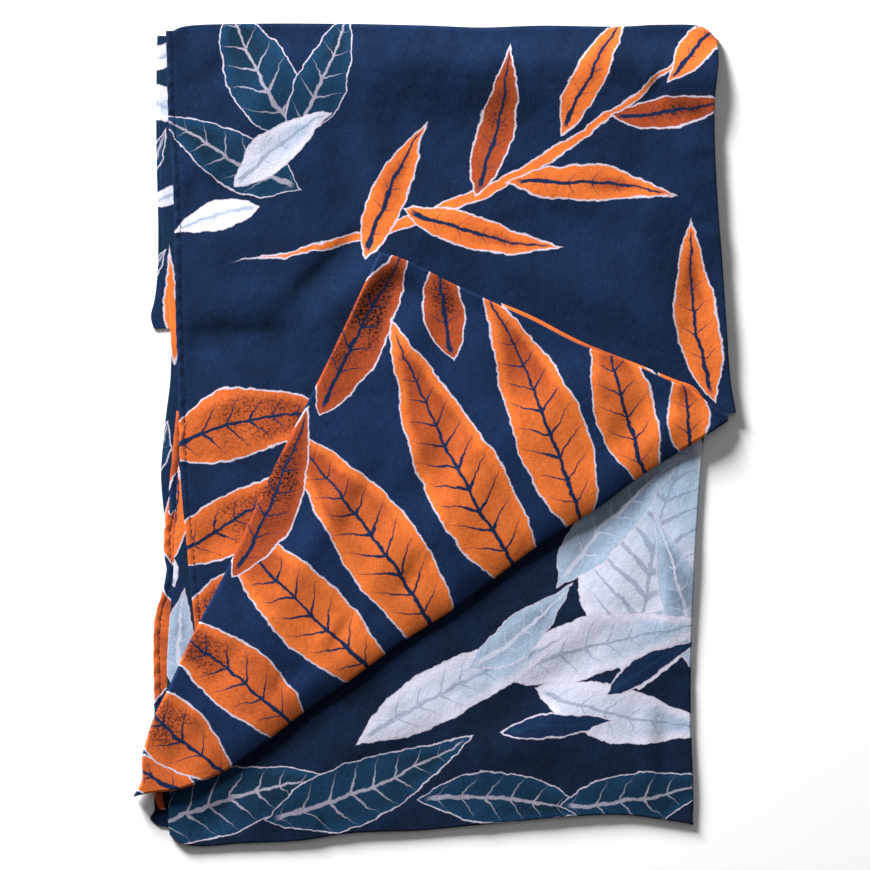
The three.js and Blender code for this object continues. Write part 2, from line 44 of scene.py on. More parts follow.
# Driving sizes, as in the part's source
WALL = 1.2
GAP = 0.3
PLY = WALL + GAP
STACK = 2
LEG = 20
CREASE_INSET = 4
STRIP_END = -119
STACK_CLEAR = 0.5
LOWER_Z = STACK + GAP
LEG_Z = LOWER_Z + PLY
COVER_Z = LEG_Z + PLY
EDGE_RISE = (36, 18)
EDGE_FULL = (-118, -140)
EDGE_SLOPE = 24
SIDE_DROP = (54, 38)
APEX_FOOT = 0.7
COVER_FROM = 0.075
INNER_FROM = 0.17
INNER_TO = 0.93

# The finished cloth and its folded edges
CLOTH = 0.5
STRIP_CLOTH = 0.4
FOLD = 2.6
SOFT_FOLD = 2.2
EDGE_FOLD = 1.1
FOLD_TUCK = 38
FOLD_STEP = 4.5
FOLD_FOOT = 0.5
COVER_STEPS, COVER_LAYERS = (140, 168), 4
LOWER_STEPS, LOWER_LAYERS = (132, 96), 2
LAYER_DIP = 0.75
LAYER_SOFT = 0.17
LEE = 1.8
SMOOTH_BELOW = math.radians(50)
TOP_DROP = 3.2
TOP_DROP_SPAN = (192, 226)
BROAD_UNEVEN, BROAD_SIZE = 0.7, 30
FINE_UNEVEN, FINE_SIZE = 0.14, 9

# The turned corner: its upper edges, its soft roll over the crease, and its low right end
FLAP_APEX = (-30, 98.5)
FLAP_EDGE_TURNS = (244, -25)
FLAP_EDGE_BLEND = 14
FLAP_COLUMNS = (132, 70)
ROLL = 2.4
ROLL_TOP = math.radians(63)
ROLL_STEPS = 17
TOP_STEPS = 80
INNER_STEPS = 60
ROLL_DROP = 2.8
ROLL_REACH = 15
ROLL_ENDS = ((-138, -108), (122, 150))
CREASE_TILT = 0.82
# Where the corner is narrow, its roll, far fold and leg take these shares of its length
NARROW_ROLL, NARROW_FOLD, NARROW_LEG = 0.42, 0.36, 0.6
CORNER_DROP = 2.6
CORNER_DROP_SPAN = (150, 160)
INNER_EDGE_DROP = 0.7

# Seams
SEAM_INSET = 3.3
CLOTH_INSET = SEAM_INSET - 0.2
STITCH_LONG = 3.3
STITCH_PITCH = 3.5
STITCH_THICK = 0.46
STITCH_SINK = 0.3
STITCH_STRAY, STITCH_TURN = 0.15, 0.06
STITCH_LIFT = 0.16
HEM_STITCH_LIFT = 0.78
PUCKER_PITCH = 8.2
SEAM_DIP, SEAM_DIP_WIDE = 0.26, 0.9
GATHER_DIP, GATHER_REACH = 0.32, 5

# Across a hem, from its outer edge: distance in, height
HEM_SECTION = [
    (0.55, 0.08), (0.2, 0.2), (0, 0.5), (0.15, 0.85), (0.55, 1.1), (1.2, 1.22), (2.0, 1.2),
    (2.7, 1.02), (3.15, 0.78), (3.6, 0.7), (3.9, 0.62), (3.9, 0.3), (3.4, 0.12),
]
HEM_STEP = 1.3
HEM_PUFF = 0.34
HEM_PUFF_FROM = 0.6
HEM_SWAY, HEM_SWAY_REACH, HEM_SWAY_TO = 0.22, 1.5, 2
HEM_WANDER, HEM_WANDER_SIZE = 0.3, 14
HEM_GIVES = 0.8
HEM_SMOOTH = math.radians(60)

# A layer's folded or hemmed outer edge at the left
EDGE_RETURN = 6
EDGE_TURN = np.radians([-90, -65, -40, -15, 15, 40, 65, 90])
EDGE_PUFF, EDGE_PUFF_REACH, EDGE_PUFF_SIZE = 0.25, 12, 19
EDGE_SINK = 0.3
EDGE_CLEAR = 0.02
STRIP_STEP = 2.2
# Rows of points across a strip, as shares of its width
FOLDED_SHARES = (0.15, 0.3, 0.5, 0.75, 1.0)
HEMMED_SHARES = np.array([0, 0.02, 0.05, 0.1, 0.18, 0.3, 0.5, 0.75, 1.0])
HEMMED_SINK = 0.15
HEMMED_DIP, HEMMED_DIP_REACH = 0.4, 0.8
HEMMED_GATHER, HEMMED_GATHER_REACH = 0.2, 4
HEMMED_UNEVEN, HEMMED_SIZE = 0.12, 15

# The hidden layers: where each lies, as shares of the height, and how far it is set in
UPPER_SLABS = ((0, 0.3, 0.7), (0.3, 0.64, 0.0), (0.64, 1.0, 1.1))
LOWER_SLABS = ((0, 0.5, 0.0), (0.5, 1.0, 0.9))
SLAB_ROUND = 0.9

# Outlines seen from above: x, y
CREASE = [
    (-150.5, -192.5), (-140, -191.5), (-130.4, -188.7), (-112.4, -180.8), (-101.2, -173.1),
    (-69.3, -148.5), (-48.8, -134.5), (-19.3, -112.7), (7.9, -95.2), (31.2, -78), (51.9, -62.3),
    (68.6, -51.2), (89, -38.5), (107.5, -24.5), (126, -12.5), (141, -3.5), (158, 7.5),
]
FLAP_TIP = (-161.6, -194.6)
COVER_LEFT = [
    (-123, -179), (-125, -143.5), (-129.5, -104.5), (-133, -68), (-137, -24.5), (-138.5, 18.5),
    (-140, 72.5), (-141, 126.5), (-144, 175), (-145, 218),
]
COVER_TOP = [
    (-145, 218), (-136, 220.5), (-102.5, 222), (-51, 222), (-2.5, 221), (24.5, 220), (57, 221),
    (100, 220.5), (122, 221.5), (145, 220), (152.5, 213),
]
COVER_RIGHT = [
    (162.5, 12), (159.5, 29.5), (157.5, 56.5), (155, 94), (152.5, 126.5), (151, 159), (151, 180.5),
    (153, 202), (152.5, 213),
]
LOWER_BOTTOM = [
    (-143, -216), (-137.5, -220.5), (-126.5, -222), (-105, -220.5), (-72.5, -219), (-45.5, -215),
    (-8, -213.5), (19, -211), (68, -206.5), (100, -205), (122, -207.5), (139, -210),
]
LOWER_LEFT = [(-143, -216), (-144, -208), (-143, -190), (-141, -168)]
LOWER_RIGHT = [
    (139, -210), (139.5, -194.5), (138.5, -165), (138, -138), (139, -100), (141, -57), (144, -14),
    (146, 10), (146, 31),
]
LOWER_TOP = [
    (-141, -168), (-117, -150), (-85, -125), (-35, -88), (15, -53), (74, -16), (126, 19), (146, 31),
]
WING_LEFT = [
    (-152, 57.5), (-153.5, 64), (-151.5, 73), (-150, 86), (-149.5, 110.5), (-150.5, 153.5),
    (-150.5, 191.5), (-150, 215.5),
]
SIDE_LEFT = [
    (-146, -148), (-144, -100), (-144.5, -59.5), (-146.5, -41), (-148, -22), (-147, -5.5),
    (-145, 13), (-143, 29.5), (-142.5, 48.5), (-145, 86), (-147, 105), (-148, 132), (-149, 170),
    (-149, 213),
]
SECOND_LEFT = [
    (-151.5, -157), (-151.5, -138), (-152, -111), (-151, -97.5), (-147, -84), (-145, -72),
    (-146, -65.5), (-146, -51.5), (-143.5, -38), (-143.5, -27.5), (-141.5, -8.5), (-139.5, 13),
]
MIDDLE_LEFT = [
    (-144.5, -150), (-144.5, -122), (-143, -97.5), (-141, -73), (-140, -43.5), (-138.5, -19),
    (-138, 2.5),
]
CORNER_LEFT = [(-149.5, -211), (-154, -207), (-151.5, -203), (-151.5, -197), (-150.5, -184)]
CORNER_HEM = [(-149, -202), (-151, -196), (-150, -184)]
CORNER_END = -138.9
CORNER_LOW = -212

# The turned corner's folds: x, y, how far the edge turns down
FLAP_LEFT = [
    (-162.5, -194.5, 6.3), (-158, -186, 6.3), (-158, -174, 6.3), (-155, -162.5, 5.5),
    (-151, -151, 3.9), (-145, -139, 2.9), (-134, -115, 1.5), (-129, -104.5, 1.5),
    (-108.5, -65, 1.5), (-90, -24.5, 1.5), (-58, 39, 1.5), (-30, 98.5, 1.5),
]
FLAP_RIGHT = [
    (-30, 98.5, 1.5), (-19, 95.5, 0), (-6, 89.5, 0), (8.5, 82, 0), (34.5, 70, 0), (53, 61.5, 0),
    (77.5, 49, 0), (100, 41, 0), (127, 29, 0), (136.5, 25.5, 0), (151, 14.5, 0), (157.5, 10.5, 0),
]
INNER_LEFT = [(-100, -140), (-108, -105), (-95, -69), (-78, -28), (-47, 35), (-26, 90)]
INNER_RIGHT = [
    (-26, 90), (-14, 91.5), (8, 82.5), (24.5, 75.5), (51.5, 64.5), (77.5, 51), (111, 37.5),
    (129, 30), (139.5, 26), (146, 18),
]

# The hidden layers: x, y
UPPER_STACK = {
    "bottom": [(-117, -143), (-86, -120), (-36, -83), (14, -48), (73, -11), (125, 24), (155, 44)],
    "right": [
        (155, 44), (154, 56.5), (152, 94), (149.5, 126.5), (148, 159), (148, 180.5), (149.5, 202),
        (149, 209),
    ],
    "top": [
        (-117, 217.5), (-51, 218.5), (-2.5, 217.5), (24.5, 216.5), (57, 217.5), (122, 218),
        (143, 216), (149, 209),
    ],
}
LOWER_STACK = {
    "bottom": [
        (-138.5, -214), (-126.5, -218.5), (-105, -217.5), (-72.5, -216), (-45.5, -212),
        (-8, -210.5), (19, -208), (68, -203.5), (100, -202), (134, -205.5),
    ],
    "top": [
        (-138.5, -172), (-117, -154), (-85, -126), (-60, -95), (-10, -60), (50, -20), (100, 15),
        (142, 40),
    ],
}

# Soft waves under the cloth: x, y, rise, half length, half width, turn
UPPER_WAVES = [
    (70, 150, 1.6, 75, 32, 20), (-45, 170, 1.3, 60, 30, -35), (-80, 70, 1.6, 60, 32, 70),
    (118, 85, 1.3, 50, 30, 80), (-80, -60, 1.1, 70, 32, 62), (20, -10, 1.4, 90, 34, 36),
]
LOWER_WAVES = [
    (-20, -160, 0.8, 80, 32, 15), (95, -115, 1.2, 65, 30, 75), (55, -175, 0.7, 60, 30, -10),
]

# Creases placed one by one, ridges up and troughs down: x, y, turn, length, half width, rise, bow
COVER_CREASES = [
    (-108, 53, 0, 100, 8, -3.3, 0.0006),
    (-100, 74, 4, 80, 9, 1.1, 0.0008),
    (-59, 89, 44, 90, 7, -2.9, -0.001),
    (-47, 76, 44, 96, 9, 2.8, -0.0012),
    (-34, 148, 97, 116, 8, 2.2, 0.0004),
    (-50, 146, 98, 100, 7, -1.6, 0.0007),
    (34, 200, -1, 260, 15, 5.3, -0.0002),
    (26, 168, -8, 190, 18, -2.9, -0.0004),
    (126, 178, -31, 90, 7, -2.8, 0.001),
    (138, 196, -20, 60, 9, 1.7, 0.001),
    (121, 192, 70, 34, 3.4, -1.2, 0.002),
    (96, 158, -52, 76, 10, 1.8, 0.001),
    (62, 82, -17, 132, 12, 3.0, 0.0006),
    (-2, 112, 10, 84, 12, 2.1, 0.0012),
    (64, 118, -22, 120, 12, -1.7, 0.0006),
    (-124, 131, -6, 60, 10, -2.2, 0),
    (-112, 112, -12, 66, 10, 1.6, 0.001),
    (-96, 176, 60, 76, 8, 1.7, -0.0015),
    (-118, 196, 34, 54, 7, -1.7, 0.001),
    (116, 118, 78, 80, 8, 2.1, 0.001),
    (137, 66, 84, 76, 7, -1.8, -0.0012),
    (-122, 14, 8, 40, 5, 1.2, 0),
    (-112, -16, -14, 58, 6, -1.3, 0.002),
    (-121, -58, 24, 36, 4.4, -1.1, 0),
    (72, 214, 88, 26, 4.4, -1.1, 0),
    (-38, 213, 96, 28, 4.6, 1.0, 0),
    (12, 212, 82, 24, 3.8, -0.9, 0),
    (-88, 214, 100, 24, 4.2, -0.9, 0),
    (146, 148, 4, 24, 4.6, -1.0, 0),
    (147, 108, -8, 26, 4.6, 0.9, 0),
]
FLAP_CREASES = [
    (-14, 78, -28, 70, 8, -2.2, 0.001),
    (-16, 48, 62, 76, 9, 2.0, 0.001),
    (6, 60, 66, 60, 8, -1.7, 0.001),
    (44, 38, 70, 84, 9, -1.6, -0.001),
    (70, 24, 66, 80, 11, 2.0, 0.0008),
    (-62, -58, 64, 124, 11, 2.3, -0.0006),
    (-44, -44, 60, 110, 8, -1.7, 0.0006),
    (-26, -68, 60, 84, 9, 1.8, 0.0005),
    (18, -22, 64, 100, 11, 2.1, 0.0005),
    (-2, -18, 64, 92, 8, -1.5, 0.0005),
    (-98, -112, 70, 76, 9, 1.7, 0.001),
    (-114, -128, 50, 62, 7, -1.6, 0.001),
    (-134, -166, 62, 46, 7, -1.6, 0.002),
    (-127, -150, 66, 52, 7, 1.5, 0),
    (-70, -122, 58, 34, 4, -1.0, 0),
    (-62, -112, 52, 38, 4.4, 1.0, 0),
    (-50, -106, 56, 34, 3.8, -1.0, 0),
    (-40, -98, 60, 30, 3.8, 0.8, 0),
    (-84, -134, 66, 30, 3.6, -0.9, 0),
    (-14, -76, 62, 30, 3.6, -0.8, 0),
    (104, 4, 58, 50, 7, -1.5, 0),
    (128, 8, 40, 42, 6, 1.0, 0),
    (-90, -52, 4, 48, 6, -1.0, 0.001),
]
LOWER_CREASES = [
    (114, -166, 91, 70, 4.6, 1.2, 0.001),
    (124, -168, 88, 60, 4.4, -1.0, 0.001),
    (66, -132, 38, 110, 10, -2.2, 0.0008),
    (40, -166, 20, 104, 9, 2.1, 0.0006),
    (-30, -176, 24, 96, 9, -2.2, 0.001),
    (-74, -190, 18, 92, 9, 1.8, -0.001),
    (-116, -204, 40, 46, 6, -1.7, 0.002),
    (84, -60, 72, 70, 9, -1.8, 0.001),
    (128, -84, 84, 70, 6.5, 1.8, 0.001),
    (-60, -212, 84, 16, 3, -0.65, 0),
    (24, -204, 92, 16, 3, 0.65, 0),
    (70, -200, 86, 14, 2.6, -0.65, 0),
    (133, -130, 6, 16, 3, -0.75, 0),
]

# Straight lines pressed in by an earlier folding: x, y, turn, length, half width, rise
COVER_PRESSED = [
    (6, 192, -3, 250, 2.4, -0.3), (58, 132, 88, 190, 2.4, -0.28), (-108, 34, -3, 90, 2.2, -0.35),
]
FLAP_PRESSED = [
    (-43, -20, -24, 120, 2.2, -0.5), (-96, -88, -25, 90, 2.2, -0.55),
    (14, -36, 63, 210, 2.4, -0.35),
]
LOWER_PRESSED = [(90, -92, -2, 130, 2.2, -0.35), (30, -150, 90, 150, 2.2, -0.3)]


def srgb(red, green, blue):
    """A dye as an eye reads it, from 0 to 255, as Blender's linear colour."""
    linear = [
        c / 12.92 if c <= 0.04045 else ((c + 0.055) / 1.055) ** 2.4
        for c in (red / 255, green / 255, blue / 255)
    ]
    return (*linear, 1)


# Dyes, with one lighter navy that is painted light on the turned corner
NAVY = srgb(18, 37, 70)
NAVY_DEEP = srgb(14, 31, 58)
# A lighter copy of the navy ground for the turned corner: painted light, making up for the darker
# shading its surface gets as it turns away from the key light
NAVY_PAINTED_LIGHT = srgb(20, 40, 77)
NIGHT = srgb(11, 25, 46)
ORANGE = srgb(219, 111, 49)
BURNT = srgb(197, 96, 44)
RUST = srgb(158, 70, 36)
RUST_DEEP = srgb(128, 54, 30)
TEAL = srgb(17, 51, 80)
TEAL_DEEP = srgb(13, 38, 58)
LILAC = srgb(198, 199, 216)
MIST = srgb(152, 170, 193)
SLATE = srgb(118, 133, 156)
HALO = srgb(194, 186, 203)
INK = srgb(13, 15, 24)
THREAD = srgb(9, 13, 26)
LINT = srgb(74, 88, 116)

# What each leaf is printed in: its body, its shaded part, its outline and that outline's width,
# its veins and how strong they are, and how much black speckle it has
DYES = {
    "orange": (ORANGE, RUST, HALO, 0.9, NAVY, 1.0, 0.0),
    "burnt": (BURNT, RUST, HALO, 0.9, NAVY, 1.0, 0.7),
    "rust": (RUST, RUST_DEEP, HALO, 0.9, NAVY, 1.0, 1.0),
    "plain": (ORANGE, RUST, HALO, 0.9, NAVY, 0.0, 0.0),
    "teal": (TEAL, TEAL_DEEP, HALO, 0.6, HALO, 0.5, 0.0),
    "lilac": (LILAC, MIST, HALO, 0.6, SLATE, 0.6, 0.0),
    "mist": (MIST, SLATE, HALO, 0.5, LILAC, 0.7, 0.0),
    "night": (NAVY, NAVY_DEEP, HALO, 0.8, TEAL, 0.6, 0.0),
    "stem": (ORANGE, RUST, HALO, 0.8, ORANGE, 0.0, 0.0),
}

# Leaves printed on each stretch of cloth, the first one lowest: x, y, turn, length, width, bend
# and dye
COVER_LEAVES = [
    (-96, 196, 118, 92, 34, 0.3, "teal"),
    (-60, 192, 66, 78, 26, -0.3, "teal"),
    (-112, 150, 152, 86, 28, 0.25, "teal"),
    (-84, 156, 38, 64, 19, 0.3, "lilac"),
    (-118, 118, -164, 46, 15, -0.2, "lilac"),
    (36, 136, 27, 268, 5, -9.0, "stem"),
    (-24, 132, 66, 78, 17, 0.3, "orange"),
    (34, 168, 76, 80, 18, -0.35, "rust"),
    (84, 196, 62, 74, 16, 0.3, "orange"),
    (24, 108, -14, 84, 17, -0.4, "orange"),
    (84, 136, -4, 88, 18, 0.35, "orange"),
    (128, 174, 8, 66, 15, -0.3, "rust"),
    (146, 214, 46, 60, 15, 0.2, "orange"),
    (140, 66, 98, 96, 22, 0.4, "orange"),
    (-100, 8, 12, 104, 34, 0.4, "burnt"),
    (-108, -46, 34, 92, 28, -0.3, "burnt"),
    (-122, -98, 58, 84, 26, 0.3, "burnt"),
]
FLAP_LEAVES = [
    (-153, -184, 152, 62, 20, 0.25, "burnt"),
    (-146, -156, 136, 96, 32, 0.3, "burnt"),
    (-112, -126, 142, 128, 33, -0.3, "burnt"),
    (-76, -88, 134, 150, 37, 0.3, "orange"),
    (-34, -54, 126, 166, 40, -0.25, "orange"),
    (12, -18, 118, 176, 41, 0.3, "orange"),
    (58, 12, 112, 150, 36, -0.25, "orange"),
    (100, 22, 104, 110, 30, 0.25, "orange"),
    (136, 14, 96, 62, 21, -0.2, "orange"),
    (-40, 58, 62, 104, 30, 0.2, "rust"),
    (-86, -32, 66, 98, 28, -0.2, "rust"),
    (4, 72, 96, 62, 20, 0.25, "rust"),
]
INNER_LEAVES = [
    (80, 52, -27, 96, 22, 0.2, "plain"),
    (138, 24, -34, 40, 18, 0.2, "plain"),
    (-14, 88, -20, 24, 14, 0.2, "plain"),
]
LOWER_LEAVES = [
    (-110, -196, 16, 120, 34, 0.4, "teal"),
    (-34, -190, 22, 118, 32, -0.3, "teal"),
    (40, -196, -4, 96, 26, 0.3, "teal"),
    (112, -196, 10, 88, 28, -0.3, "teal"),
    (118, -62, 78, 150, 74, 0.2, "lilac"),
    (96, -44, 46, 96, 26, 0.3, "mist"),
    (132, -84, 104, 84, 22, -0.3, "mist"),
    (92, -112, 14, 118, 30, 0.35, "lilac"),
    (104, -152, -12, 104, 28, -0.35, "lilac"),
    (14, -134, 26, 128, 28, 0.3, "lilac"),
    (48, -106, 40, 70, 20, -0.3, "mist"),
    (116, -124, 30, 56, 12, 0.3, "night"),
    (66, -156, 6, 60, 12, 0.3, "night"),
]
SIDE_LEAVES = [
    (-146, 205, 24, 34, 11, 0.3, "lilac"),
    (-147, 178, -20, 40, 15, -0.3, "lilac"),
    (-150, 152, 72, 26, 6, 0.2, "teal"),
    (-142, 130, 22, 26, 8, 0.3, "lilac"),
    (-150, 92, 62, 18, 5, 0.2, "teal"),
    (-141.6, 68, 92, 56, 6.4, 0.1, "plain"),
    (-148, -8, 80, 30, 9, 0.2, "teal"),
    (-140, -44, 84, 50, 12, -0.2, "orange"),
    (-143, -72, 100, 20, 7, 0.2, "lilac"),
    (-138, -112, 88, 56, 16, 0.2, "mist"),
]
HEM_LEAVES = [
    (-146, -148, 62, 46, 15, 0.2, "night"),
    (-143, -78, 112, 34, 10, 0.3, "night"),
    (-140, -30, 74, 26, 8, 0.3, "night"),
    (-146, -209, 20, 40, 15, 0.2, "night"),
]


# Numbers

def mix(a, b, share):
    return a + (b - a) * share


def ease(value, start, end):
    share = np.clip((value - start) / (end - start), 0, 1)
    return share * share * (3 - 2 * share)


def along_across(x, y, turn, px, py):
    """Where points lie along and across a line through (x, y)."""
    cos, sin = math.cos(math.radians(turn)), math.sin(math.radians(turn))
    return (px - x) * cos + (py - y) * sin, (py - y) * cos - (px - x) * sin


def waves(rows, px, py):
    total = 0
    for x, y, rise, long, wide, turn in rows:
        along, across = along_across(x, y, turn, px, py)
        total = total + rise * np.exp(-((along / long) ** 2) - (across / wide) ** 2)
    return total


def creases(rows, px, py):
    """Soft troughs and ridges, gentler on their right-hand side, that fade out at their ends."""
    total = 0
    for x, y, turn, length, wide, rise, bow in rows:
        along, across = along_across(x, y, turn, px, py)
        fade = np.clip(1 - (2 * along / length) ** 2, 0, 1) ** 1.5
        offset = across - bow * along**2
        spread = np.where(offset > 0, wide, LEE * wide)
        total = total + rise * fade * np.exp(-((offset / spread) ** 2))
    return total


def pressed(rows, px, py):
    """Straight, narrow lines with a sharper bottom."""
    total = 0
    for x, y, turn, length, wide, rise in rows:
        along, across = along_across(x, y, turn, px, py)
        fade = np.clip(1 - (2 * along / length) ** 2, 0, 1)
        total = total + rise * fade * np.exp(-np.abs(across) / wide)
    return total


def lattice_noise(px, py, size, seed):
    """Smooth noise from -1 to 1 with bumps of about one size."""
    values = np.random.default_rng(seed).uniform(-1, 1, (128, 128))
    gx, gy = px / size + 64, py / size + 64
    ix, iy = np.floor(gx).astype(int), np.floor(gy).astype(int)
    fx, fy = gx - ix, gy - iy
    fx, fy = fx * fx * (3 - 2 * fx), fy * fy * (3 - 2 * fy)
    low = mix(values[ix, iy], values[ix + 1, iy], fx)
    high = mix(values[ix, iy + 1], values[ix + 1, iy + 1], fx)
    return mix(low, high, fy)


def settle(px, py, seed):
    """The small unevenness of cloth that was smoothed by hand."""
    wide = lattice_noise(px, py, BROAD_SIZE, seed)
    fine = lattice_noise(px + 0.4 * py, py - 0.4 * px, FINE_SIZE, seed + 1)
    return BROAD_UNEVEN * wide + FINE_UNEVEN * fine


def puckers(run, seed, spread):
    """How far a seam's puckers stand out along it, and their own wave from -1 to 1."""
    drift = lattice_noise(run * 0, run, 26, seed)
    uneven = 1 - spread + spread * lattice_noise(run * 0, run, 17, seed + 6)
    return uneven, np.sin(2 * np.pi * run / PUCKER_PITCH + 3.6 * drift)


class Curve:
    """A smooth curve through rows of points, read by its share of the way along."""

    def __init__(self, rows, dense=48):
        points = np.array(rows, float)
        before = 2 * points[0] - points[1]
        after = 2 * points[-1] - points[-2]
        points = np.vstack([before, points, after])
        share = np.linspace(0, 1, dense, endpoint=False)[:, None]
        runs = []
        for p0, p1, p2, p3 in zip(points, points[1:], points[2:], points[3:]):
            pairs = ((p0, p1), (p1, p2), (p2, p3))
            d0, d1, d2 = (math.sqrt(np.linalg.norm(b - a)) for a, b in pairs)
            start = ((p1 - p0) / d0 - (p2 - p0) / (d0 + d1) + (p2 - p1) / d1) * d1
            end = ((p2 - p1) / d1 - (p3 - p1) / (d1 + d2) + (p3 - p2) / d2) * d1
            a = 2 * p1 - 2 * p2 + start + end
            b = -3 * p1 + 3 * p2 - 2 * start - end
            runs.append(p1 + start * share + b * share**2 + a * share**3)
        self.points = np.vstack([*runs, points[-2]])
        steps = np.linalg.norm(np.diff(self.points, axis=0), axis=1)
        self.share = np.concatenate([[0], np.cumsum(steps)]) / steps.sum()
        self.length = steps.sum()

    def __call__(self, share):
        return np.stack([np.interp(share, self.share, column) for column in self.points.T], axis=-1)

    def beside(self, share, offset):
        """Points moved to the curve's left."""
        step = 0.005
        ahead = self(np.clip(share + step, 0, 1)) - self(np.clip(share - step, 0, 1))
        ahead /= np.linalg.norm(ahead, axis=-1, keepdims=True)
        return self(share) + offset * np.stack([-ahead[..., 1], ahead[..., 0]], axis=-1)


def shifted(rows, dx):
    return [(x + dx, y) for x, y in rows]


def straight(start, end):
    return Curve([start, ((start[0] + end[0]) / 2, (start[1] + end[1]) / 2), end])


class Plan:
    """A four-sided plan between four curves: left and right run up, bottom and top run right."""

    def __init__(self, left, right, bottom, top):
        self.left, self.right, self.bottom, self.top = left, right, bottom, top

    def at(self, u, v):
        left, right, bottom, top = self.left, self.right, self.bottom, self.top
        u, v = u[..., None], v[..., None]
        across = mix(left(v[..., 0]), right(v[..., 0]), u)
        along = mix(bottom(u[..., 0]), top(u[..., 0]), v)
        corners = mix(mix(left(0.0), right(0.0), u), mix(left(1.0), right(1.0), u), v)
        return across + along - corners

    def width(self, v):
        return np.linalg.norm(self.right(v) - self.left(v), axis=-1)

    def height(self, u):
        return np.linalg.norm(self.top(u) - self.bottom(u), axis=-1)


# Heights of the undersides over the plan, as in the part's source

def lower_z(x, y):
    return LOWER_Z + waves(LOWER_WAVES, x, y)


def cover_edge(y):
    return np.interp(y, [row[1] for row in COVER_LEFT], [row[0] for row in COVER_LEFT])


def cover_z(x, y):
    beside = mix(2 * PLY, 3 * PLY, ease(y, *EDGE_RISE))
    edge = mix(beside, COVER_Z, ease(y, *EDGE_FULL))
    left = cover_edge(y)
    full = COVER_Z + waves(LOWER_WAVES, x, y) + waves(UPPER_WAVES, x, y)
    return mix(edge, full, ease(x, left, left + EDGE_SLOPE))


def level(height):
    """An underside at one height."""
    return lambda x, y: np.zeros_like(np.asarray(x, float)) + height


def side_z(x, y):
    return mix(PLY, 0, ease(y, *SIDE_DROP))


# Upper sides of the finished cloth

def seam_dip(x, y):
    """The valley along the cover's stitches, with the short puckers that run in from it."""
    inside = x - cover_edge(y) - SEAM_INSET
    uneven, wave = puckers(y, 31, 0.45)
    valley = SEAM_DIP * np.exp(-((inside / SEAM_DIP_WIDE) ** 2))
    gather = GATHER_DIP * uneven * (0.5 + 0.5 * wave)
    return -valley - gather * np.exp(-np.maximum(inside, 0) / GATHER_REACH)


def under_flap(x, y):
    """How far a place lies inside the turned corner's two upper edges, from 0 to 1."""
    left, right = (along_across(*FLAP_APEX, turn, x, y)[1] for turn in FLAP_EDGE_TURNS)
    return ease(left, 0, FLAP_EDGE_BLEND) * ease(-right, 0, FLAP_EDGE_BLEND)


def crease_roll(x, y):
    """How the upper layers curve down towards the crease, except near its two ends."""
    line = np.interp(x, [row[0] for row in CREASE], [row[1] for row in CREASE])
    near = np.clip(1 - CREASE_TILT * (y - line) / ROLL_REACH, 0, 1)
    (left_from, left_to), (right_from, right_to) = ROLL_ENDS
    return -ROLL_DROP * near**2 * ease(x, left_from, left_to) * (1 - ease(x, right_from, right_to))


def upper_form(x, y):
    """The folds that the cover and the turned corner share, so that they never cross."""
    cover = creases(COVER_CREASES, x, y) + pressed(COVER_PRESSED, x, y) + settle(x, y, 3)
    cover = cover - TOP_DROP * ease(y, *TOP_DROP_SPAN)
    flap = creases(FLAP_CREASES, x, y) + pressed(FLAP_PRESSED, x, y) + settle(x, y, 7)
    return mix(cover, flap, under_flap(x, y)) + crease_roll(x, y)


def cover_top(x, y):
    left = cover_edge(y)
    form = upper_form(x, y) * ease(x, left + 2, left + 14)
    return cover_z(x, y) + WALL + form + seam_dip(x, y)


def flap_top(x, y):
    return cover_z(x, y) + 2 * PLY + WALL + upper_form(x, y)


def lower_top(x, y):
    details = creases(LOWER_CREASES, x, y) + pressed(LOWER_PRESSED, x, y) + settle(x, y, 11)
    return lower_z(x, y) + WALL + details


# Meshes

def deselect():
    bpy.ops.object.select_all(action="DESELECT")


def choose(piece):
    deselect()
    piece.select_set(True)
    bpy.context.view_layer.objects.active = piece


def link_mesh(name, points, faces, cloth):
    """A mesh with the flat cloth's own millimetres in the UV map named cloth."""
    mesh = bpy.data.meshes.new(name)
    loops = [[int(i) for i in face] for face in faces]
    mesh.from_pydata((np.asarray(points) * MM).tolist(), [], loops)
    corners = np.concatenate([np.asarray(face) for face in faces])
    mesh.uv_layers.new(name="cloth").data.foreach_set("uv", np.asarray(cloth)[corners].ravel())
    mesh.validate()
    piece = bpy.data.objects.new(name, mesh)
    bpy.context.scene.collection.objects.link(piece)
    return piece


def grid_faces(columns, rows):
    at = np.arange(columns * rows).reshape(columns, rows)
    return np.stack([at[:-1, :-1], at[1:, :-1], at[1:, 1:], at[:-1, 1:]], axis=-1).reshape(-1, 4)


def thin_cloth(name, points, cloth, thickness=CLOTH):
    """A grid of points on the cloth's outer side, given its thickness by Solidify."""
    columns, rows = points.shape[:2]
    faces = grid_faces(columns, rows)
    piece = link_mesh(name, points.reshape(-1, 3), faces, cloth.reshape(-1, 2))
    solid = piece.modifiers.new("thickness", "SOLIDIFY")
    solid.thickness = thickness * MM
    solid.offset = -1
    solid.use_quality_normals = True
    choose(piece)
    bpy.ops.object.modifier_apply(modifier=solid.name)
    bpy.ops.object.shade_smooth_by_angle(angle=SMOOTH_BELOW)
    deselect()
    return piece


def settle_piece(piece, material, nodes=()):
    piece.data.materials.clear()
    piece.data.materials.append(material)
    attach(piece, "root")
    if nodes:
        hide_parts(*nodes)
    return piece


def fold_angles():
    return np.radians(np.arange(90 - FOLD_STEP, -FOLD_TUCK - 1, -FOLD_STEP))


def fold_rise(angles):
    tuck = math.sin(math.radians(FOLD_TUCK))
    return (np.sin(angles) + tuck) / (1 + tuck)


def layered(angles, layers):
    """How far the valleys between the stacked layers go in, down a folded edge."""
    phase = fold_rise(angles) * layers
    nearest = np.round(phase)
    valley = np.exp(-(((phase - nearest) / LAYER_SOFT) ** 2))
    return LAYER_DIP * valley * (nearest < layers)


